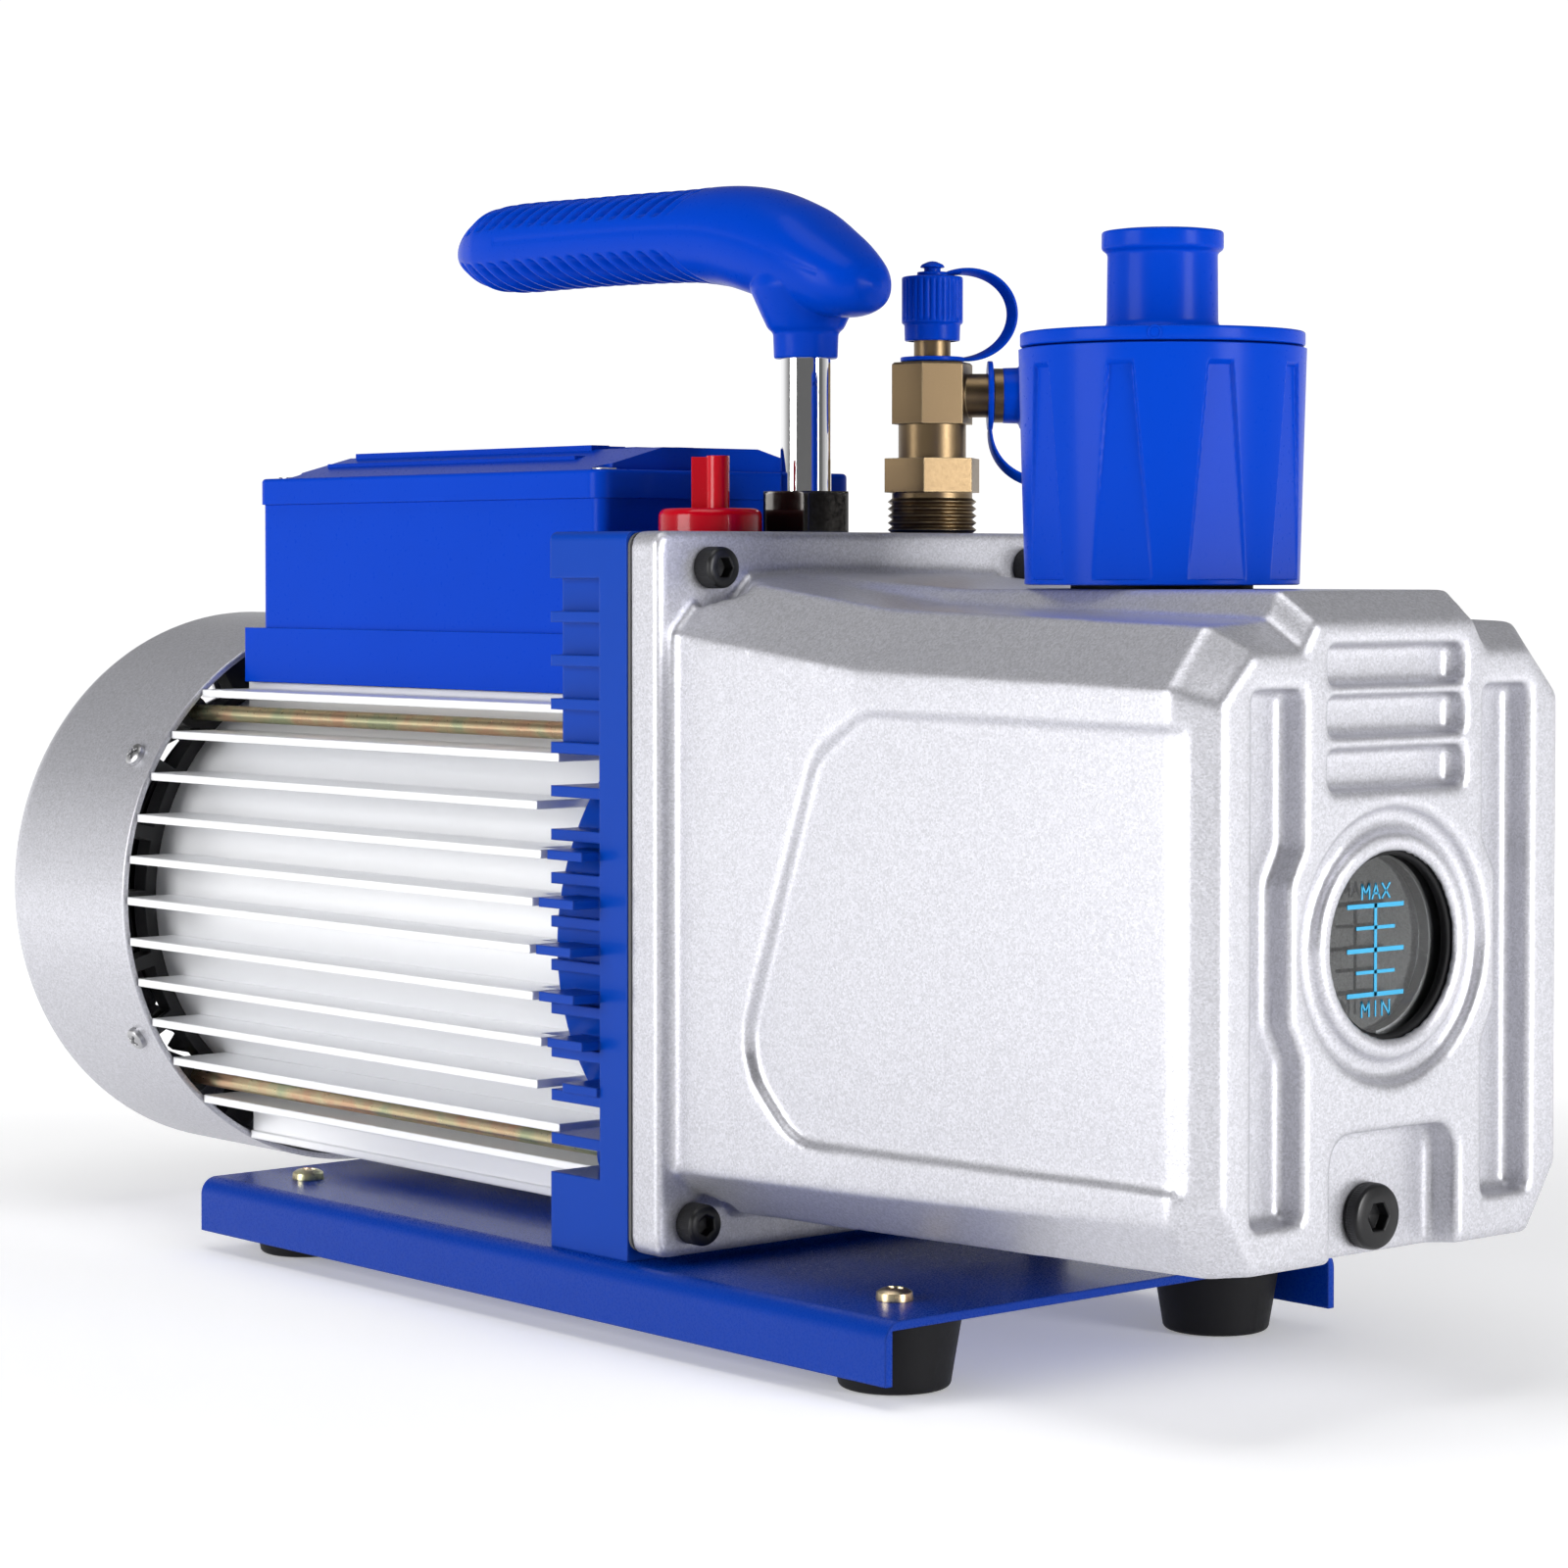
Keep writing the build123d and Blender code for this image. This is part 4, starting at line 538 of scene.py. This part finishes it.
STRAP_W, STRAP_T = 3.4, 0.95
STRAP_TWIST = 42.0                   # degrees at the middle of the strap


def bezier(ctrl, t):
    """Point of a Bezier line."""
    n = len(ctrl) - 1
    return sum((math.comb(n, k) * t ** k * (1 - t) ** (n - k) * Vector(c) for k, c in enumerate(ctrl)),
               Vector((0, 0)))


def strap(ctrl, ring_a, ring_b):
    """Flat flexible strap along a Bezier line in the plane of the tee, with a ring at both ends."""
    steps = 60
    line = [bezier(ctrl, i / steps) for i in range(steps + 1)]
    c, s = math.cos(math.radians(TURN)), math.sin(math.radians(TURN))
    rows = []
    for i, p in enumerate(line):
        d = (line[min(i + 1, steps)] - line[max(i - 1, 0)]).normalized()
        nrm = Vector((-d[1], d[0]))
        tip = math.radians(STRAP_TWIST) * math.sin(math.pi * i / steps) ** 0.7
        row = []
        for a in range(12):
            t = 2 * math.pi * a / 12
            o = STRAP_T / 2 * math.copysign(abs(math.sin(t)) ** 0.6, math.sin(t))
            w = STRAP_W / 2 * math.copysign(abs(math.cos(t)) ** 0.6, math.cos(t))
            q = p + nrm * (o * math.cos(tip) + w * math.sin(tip))
            side = w * math.cos(tip) - o * math.sin(tip)
            row.append((TOP[0] + c * q[0] + s * side, TOP[1] + s * q[0] - c * side, q[1]))
        rows.append(row)
    return join([rings(rows), ring_a, ring_b])


def washer(r0, r1, z, t):
    """Flat ring with rounded edges."""
    return lathe(rounded([(r0, z), (r1, z), (r1, z + t), (r0, z + t), (r0, z)], 0.25, 3), 72)


top_strap = strap([(3.0, 231.3), (12.0, 234.0), (22.5, 229.5), (22.5, 216.0), (13.0, 211.9),
                   (6.6, 211.9)], moved(washer(1.95, 3.5, 230.85, 0.95), at(*TOP, 0)),
                  moved(washer(4.3, 7.3, 211.35, 1.0), at(*TOP, 0)))
ob = piece("cap_strap_top_soft", *top_strap, "blue_plastic", None, ["cap_strap_top"])
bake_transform(ob)

side_strap = strap([(13.2, TEE_Z - 7.3), (12.8, TEE_Z - 18.0), (22.0, TEE_Z - 24.0), (34.0, TEE_Z - 23.0),
                    (43.0, TEE_Z - 16.0), (40.0, TEE_Z - 4.0), (34.6, TEE_Z - 2.8)],
                   moved(washer(5.1, 7.9, 12.6, 1.2), SIDE), moved(washer(1.95, 3.5, 33.8, 0.95), SIDE))
ob = piece("cap_strap_side_soft", *side_strap, "blue_plastic", None, ["cap_strap_side"])
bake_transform(ob)


# ------------------------------------------------------------------ cast oil tank with soft edges
def cast(name, source, voxel, passes, mat, body):
    """Casting with rounded edges: the CAD solid skinned by an even grid and relaxed."""
    src = NODES[source]
    work = bpy.data.objects.new(name, src.data.copy())
    bpy.context.scene.collection.objects.link(work)
    grid = work.modifiers.new("grid", "REMESH")
    grid.mode = "VOXEL"
    grid.voxel_size = voxel * MM
    relax = work.modifiers.new("relax", "SMOOTH")
    relax.factor = 0.5
    relax.iterations = passes
    bpy.context.view_layer.update()
    done = bpy.data.meshes.new_from_object(work.evaluated_get(bpy.context.evaluated_depsgraph_get()))
    work.modifiers.clear()
    work.data = done
    done.materials.clear()
    done.materials.append(M[mat])
    done.polygons.foreach_set("use_smooth", [True] * len(done.polygons))
    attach(work, body)
    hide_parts(source)
    return work


cast("tank_cover_cast", "tank_cover", 0.75, 9, "silver_paint", "body")


# ------------------------------------------------------------------ fasteners
def circle(radius, z, n):
    """Ring of n points; the radius is a number or a function of the angle."""
    angles = [2 * math.pi * j / n for j in range(n)]
    radii = [radius(a) if callable(radius) else radius for a in angles]
    return [(r * math.cos(a), r * math.sin(a), z) for r, a in zip(radii, angles)]


def pan_head(r, h, recess=0.5, arm=0.52):
    """Domed head with a cross recess, its underside at height 0."""
    rows, n = [], 96
    for k in range(27):
        t = 1 - k / 26
        rr = max(r * t, 0.02)
        row = []
        for j in range(n):
            a = 2 * math.pi * j / n
            x, y = rr * math.cos(a), rr * math.sin(a)
            z = h * (1 - 0.42 * t ** 3.2) if k else h * 0.18
            near, far = min(abs(x), abs(y)), max(abs(x), abs(y))
            if near < arm and far < r * recess:
                z -= h * 0.62 * min(1.0, (arm - near) / 0.18) * min(1.0, (r * recess - far) / 0.35)
            row.append((x, y, z))
        rows.append(row)
    rows.insert(0, circle(r, 0.0, n))
    return rings(rows)


def hex_at(a, across):
    """Distance to the side of a hexagon at an angle."""
    return across / math.cos((a + math.pi / 6) % (math.pi / 3) - math.pi / 6)


def nut(z0, z1, across, bore, n=96):
    """Hexagon nut with its corners turned off at both faces; across is half the width over the flats."""
    def side(cut):
        return lambda a: min(hex_at(a, across), across * 1.154 * cut)

    rows = [circle(side(cut), z, n) for z, cut in ((z0, 0.93), (z0 + 0.5, 1.0), (z1 - 0.5, 1.0),
                                                   (z1, 0.93))]
    rows += [circle(bore, z, n) for z in (z1, z0)]
    return rings(rows, loop=True)


def socket_head(r, h, across, depth):
    """Knurled cylinder head with a hexagon socket, its underside at height 0."""
    n = 144

    def knurl(a):
        return r - 0.13 * (round(a * n / (2 * math.pi)) % 2)

    def socket(q):
        return lambda a: hex_at(a, across) + q

    rows = [circle(knurl, z, n) for z in (0.0, 0.4, h - 1.0)]
    rows += [circle(r - q, h - drop, n) for q, drop in ((0.05, 0.8), (0.35, 0.25), (0.8, 0.0))]
    rows += [circle(socket(q), z, n) for q, z in ((0.25, h), (0.0, h - 0.25), (0.0, h - depth))]
    rows.append(circle(0.05, h - depth - 0.4, n))
    return rings(rows)


def shank(r, z0, z1):
    """Plain round bar along Z."""
    return lathe([(0.05, z0), (r, z0), (r, z1), (0.05, z1)], 32)


FEET = [(x, y) for x in (-97.7, 112.3) for y in (-46.9, 46.9)]
parts = []
for i, (x, y) in enumerate(FEET):
    head = moved(pan_head(3.8, 2.6), at(0, 0, PLATE_TOP))
    unit = join([head, shank(2.0, 2.2, PLATE_TOP + 0.2), nut(4.6, 7.8, 3.46, 2.05)])
    parts.append(moved(unit, at(x, y, 0, turn=25 + 40 * i)))
piece("foot_screws_cross", *join(parts), "zinc_yellow", "body", ["foot_screws"], 30)

TANK_SCREWS = [(-46.5, 164.3), (46.5, 164.3), (-51.5, 25.9), (51.5, 25.9)]
parts = []
for i, (y, z) in enumerate(TANK_SCREWS):
    head = moved(socket_head(4.4, 5.0, 2.0, 2.8), at(0, 0, FLANGE_X))
    unit = join([head, shank(2.45, 30.0, FLANGE_X + 0.1)])
    parts.append(moved(unit, at(0, y, z, "X", 17 * i)))
piece("tank_screws_socket", *join(parts), "black_oxide", "body", ["tank_screws"], 30)

plug = join([moved(socket_head(6.45, 2.8, 2.6, 2.4), at(0, 0, DRAIN_X)), thread(181.0, 15.2, 4.95, 1.25,
                                                                                0.5)])
piece("drain_plug_turned", *moved(plug, at(0, 0, DRAIN_Z, "X")), "black_oxide", "drain_plug",
      ["drain_plug"], 30)

COVER_R = 70.0                       # fan cover
COVER_SCREW_X = -152.3
parts = []
for i, a in enumerate((30.0, 150.0, 210.0, 330.0)):
    head = moved(pan_head(2.9, 1.9, 0.62, 0.42), at(0, 0, COVER_R))
    unit = join([head, shank(2.0, COVER_R - 3.2, COVER_R + 0.2)])
    turn = at(COVER_SCREW_X, 0, ZM) @ Matrix.Rotation(math.radians(a - 90), 4, "X")
    parts.append(moved(unit, turn @ Matrix.Rotation(math.radians(20 * i + 8), 4, "Z")))
piece("fan_cover_screws_cross", *join(parts), "steel_bolt", "body", ["fan_cover_screws"], 30)

ROD_Y, ROD_Z = 45.0, 45.6            # tie rods, from the shaft axis
tie_rod = join([nut(-158.4, -155.0, 3.4, 1.6), shank(2.0, -155.2, 12.0), thread(12.0, 22.0, 2.0, 0.8,
                                                                                0.28, 24, 8)])
parts = [moved(tie_rod, at(0, y, ZM + z, "X")) for y in (-ROD_Y, ROD_Y) for z in (-ROD_Z, ROD_Z)]
piece("tie_rods_threaded", *join(parts), "zinc_yellow", "body", ["tie_rods"], 30)


# ------------------------------------------------------------------ oil level scale printed on the glass
PRINT_T = 0.16


def stroke(p, q, width):
    """Printed line from p to q, given as (Y, height over the glass centre)."""
    a, b = Vector(p), Vector(q)
    d = (b - a).normalized() * width / 2
    n = Vector((-d[1], d[0]))
    flat = [a - d + n, a - d - n, b + d - n, b + d + n]
    verts = [(x, f[0], f[1] + GLASS_Z) for x in (GLASS_X, GLASS_X + PRINT_T) for f in flat]
    return verts, [(0, 1, 2, 3), (7, 6, 5, 4), (0, 4, 5, 1), (1, 5, 6, 2), (2, 6, 7, 3), (3, 7, 4, 0)]


LETTERS = {"M": [((0, 0), (0, 1)), ((0, 1), (0.5, 0.35)), ((0.5, 0.35), (1, 1)), ((1, 1), (1, 0))],
           "A": [((0, 0), (0.5, 1)), ((0.5, 1), (1, 0)), ((0.2, 0.35), (0.8, 0.35))],
           "X": [((0, 0), (1, 1)), ((0, 1), (1, 0))], "I": [((0.5, 0), (0.5, 1))],
           "N": [((0, 0), (0, 1)), ((0, 1), (1, 0)), ((1, 0), (1, 1))]}
LONG_MARKS, SHORT_MARKS = (-9.5, -1.0, 7.5), (-5.2, 3.3)
MIDDLE_Y = -1.7
marks = [stroke((MIDDLE_Y - 7.7, z), (MIDDLE_Y + 7.7, z), 0.9) for z in LONG_MARKS]
marks += [stroke((MIDDLE_Y - 5.2, z), (MIDDLE_Y + 5.2, z), 0.7) for z in SHORT_MARKS]
marks.append(stroke((MIDDLE_Y, LONG_MARKS[0]), (MIDDLE_Y, LONG_MARKS[-1]), 0.8))
LETTER_W, LETTER_H, LETTER_STEP = 2.1, 2.7, 2.9
for word, base in (("MAX", 8.9), ("MIN", -13.6)):
    for i, letter in enumerate(word):
        left = -5.6 + LETTER_STEP * i
        for p, q in LETTERS[letter]:
            ends = [(left + LETTER_W * y, base + LETTER_H * z) for y, z in (p, q)]
            marks.append(stroke(*ends, 0.4))
piece("level_scale_print", *join(marks), "cyan_print", "body", ["level_scale"], 20)


# ------------------------------------------------------------------ stage, light and camera
def plate(name, pts, mat):
    """One flat face, its corners in metres."""
    me = bpy.data.meshes.new(name)
    me.from_pydata(pts, [], [tuple(range(len(pts)))])
    me.materials.append(mat)
    ob = bpy.data.objects.new(name, me)
    bpy.context.scene.collection.objects.link(ob)
    return ob


# The floor glows: its emission is faint near the object and rises with distance, painted light standing in
# for a brightly lit pale floor.
floor_mat = finish("floor_white", (0.94, 0.94, 0.95), 0.8, edge=0, tone=0.01, grain=0.0)
floor_mat.node_tree.nodes["Principled BSDF"].inputs["Emission Color"].default_value = (1, 1, 1, 1)
ft = floor_mat.node_tree
away = node(ft, "ShaderNodeVectorMath", {0: node(ft, "ShaderNodeTexCoord").outputs["Object"]},
            operation="LENGTH")
painted_floor_light = node(ft, "ShaderNodeMapRange", {"Value": away.outputs["Value"], "From Min": 0.12, "From Max": 0.75,
                                       "To Min": 0.26, "To Max": 0.95}, interpolation_type="SMOOTHSTEP")
ft.links.new(painted_floor_light.outputs[0], ft.nodes["Principled BSDF"].inputs["Emission Strength"])
FLOOR_HALF, FLOOR_Z = 40.0, -0.0002   # metres
floor = plate("studio_floor", [(x * FLOOR_HALF, y * FLOOR_HALF, FLOOR_Z) for x, y in ((-1, -1), (1, -1),
                                                                                      (1, 1), (-1, 1))],
              floor_mat)

world = bpy.context.scene.world or bpy.data.worlds.new("studio")
bpy.context.scene.world = world
world.use_nodes = True
wt = world.node_tree
bg = wt.nodes.get("Background") or wt.nodes.new("ShaderNodeBackground")
sky = node(wt, "ShaderNodeTexCoord")
part = node(wt, "ShaderNodeSeparateXYZ", {"Vector": sky.outputs["Generated"]})
low = node(wt, "ShaderNodeMapRange", {"Value": part.outputs["Z"], "From Min": 0.10, "From Max": 0.38,
                                      "To Min": 1.0, "To Max": 0.20}, interpolation_type="SMOOTHSTEP")
aim = node(wt, "ShaderNodeVectorMath", {0: sky.outputs["Generated"], 1: (-0.76, 0.65, 0.0)},
           operation="DOT_PRODUCT")
back = node(wt, "ShaderNodeMapRange", {"Value": aim.outputs["Value"], "From Min": -0.35, "From Max": 0.75,
                                       "To Min": 0.14, "To Max": 1.08}, interpolation_type="SMOOTHSTEP")
power = node(wt, "ShaderNodeMath", {0: low.outputs[0], 1: back.outputs[0]}, operation="MULTIPLY")
seen = node(wt, "ShaderNodeMath", {0: power.outputs[0],
                                   1: node(wt, "ShaderNodeLightPath").outputs["Is Camera Ray"]},
            operation="MAXIMUM")
wt.links.new(seen.outputs[0], bg.inputs[1])
bg.inputs[0].default_value = (1.0, 1.0, 1.0, 1)
bpy.context.scene.view_settings.view_transform = "Standard"


def lamp(name, place, aim, size, watts):
    """Soft white area lamp that looks at a point; places and sizes in metres."""
    data = bpy.data.lights.new(name, "AREA")
    data.shape = "RECTANGLE"
    data.size, data.size_y = size
    data.energy = watts
    ob = bpy.data.objects.new(name, data)
    bpy.context.scene.collection.objects.link(ob)
    ob.location = place
    ob.rotation_mode = "QUATERNION"
    ob.rotation_quaternion = (Vector(aim) - Vector(place)).to_track_quat("-Z", "Y")


lamp("key", (-0.25, -1.45, 0.40), (0.0, 0.0, 0.09), (0.8, 0.7), 15.5)
lamp("front", (1.60, 0.24, 0.30), (0.1, 0.0, 0.09), (0.5, 0.7), 18.5)
lamp("top", (0.10, -0.30, 1.45), (0.0, 0.0, 0.1), (1.0, 0.8), 7)

cam_data = bpy.data.cameras.new("photo_camera")
cam = bpy.data.objects.new("photo_camera", cam_data)
bpy.context.scene.collection.objects.link(cam)
cam_data.sensor_width = 36.0
cam_data.lens = 92.0619
cam_data.shift_y = -0.0625
cam_data.clip_start = 0.02
cam_data.clip_end = 120.0
AZ, DIP = math.radians(49.37), math.radians(1.69)    # direction of view, from -Y towards +X, and downwards
cam.location = (0.70647, -0.58595, 0.16426)
look = Vector((-math.sin(AZ) * math.cos(DIP), math.cos(AZ) * math.cos(DIP), -math.sin(DIP)))
cam.rotation_mode = "QUATERNION"
cam.rotation_quaternion = look.to_track_quat("-Z", "Y")
bpy.context.scene.camera = cam
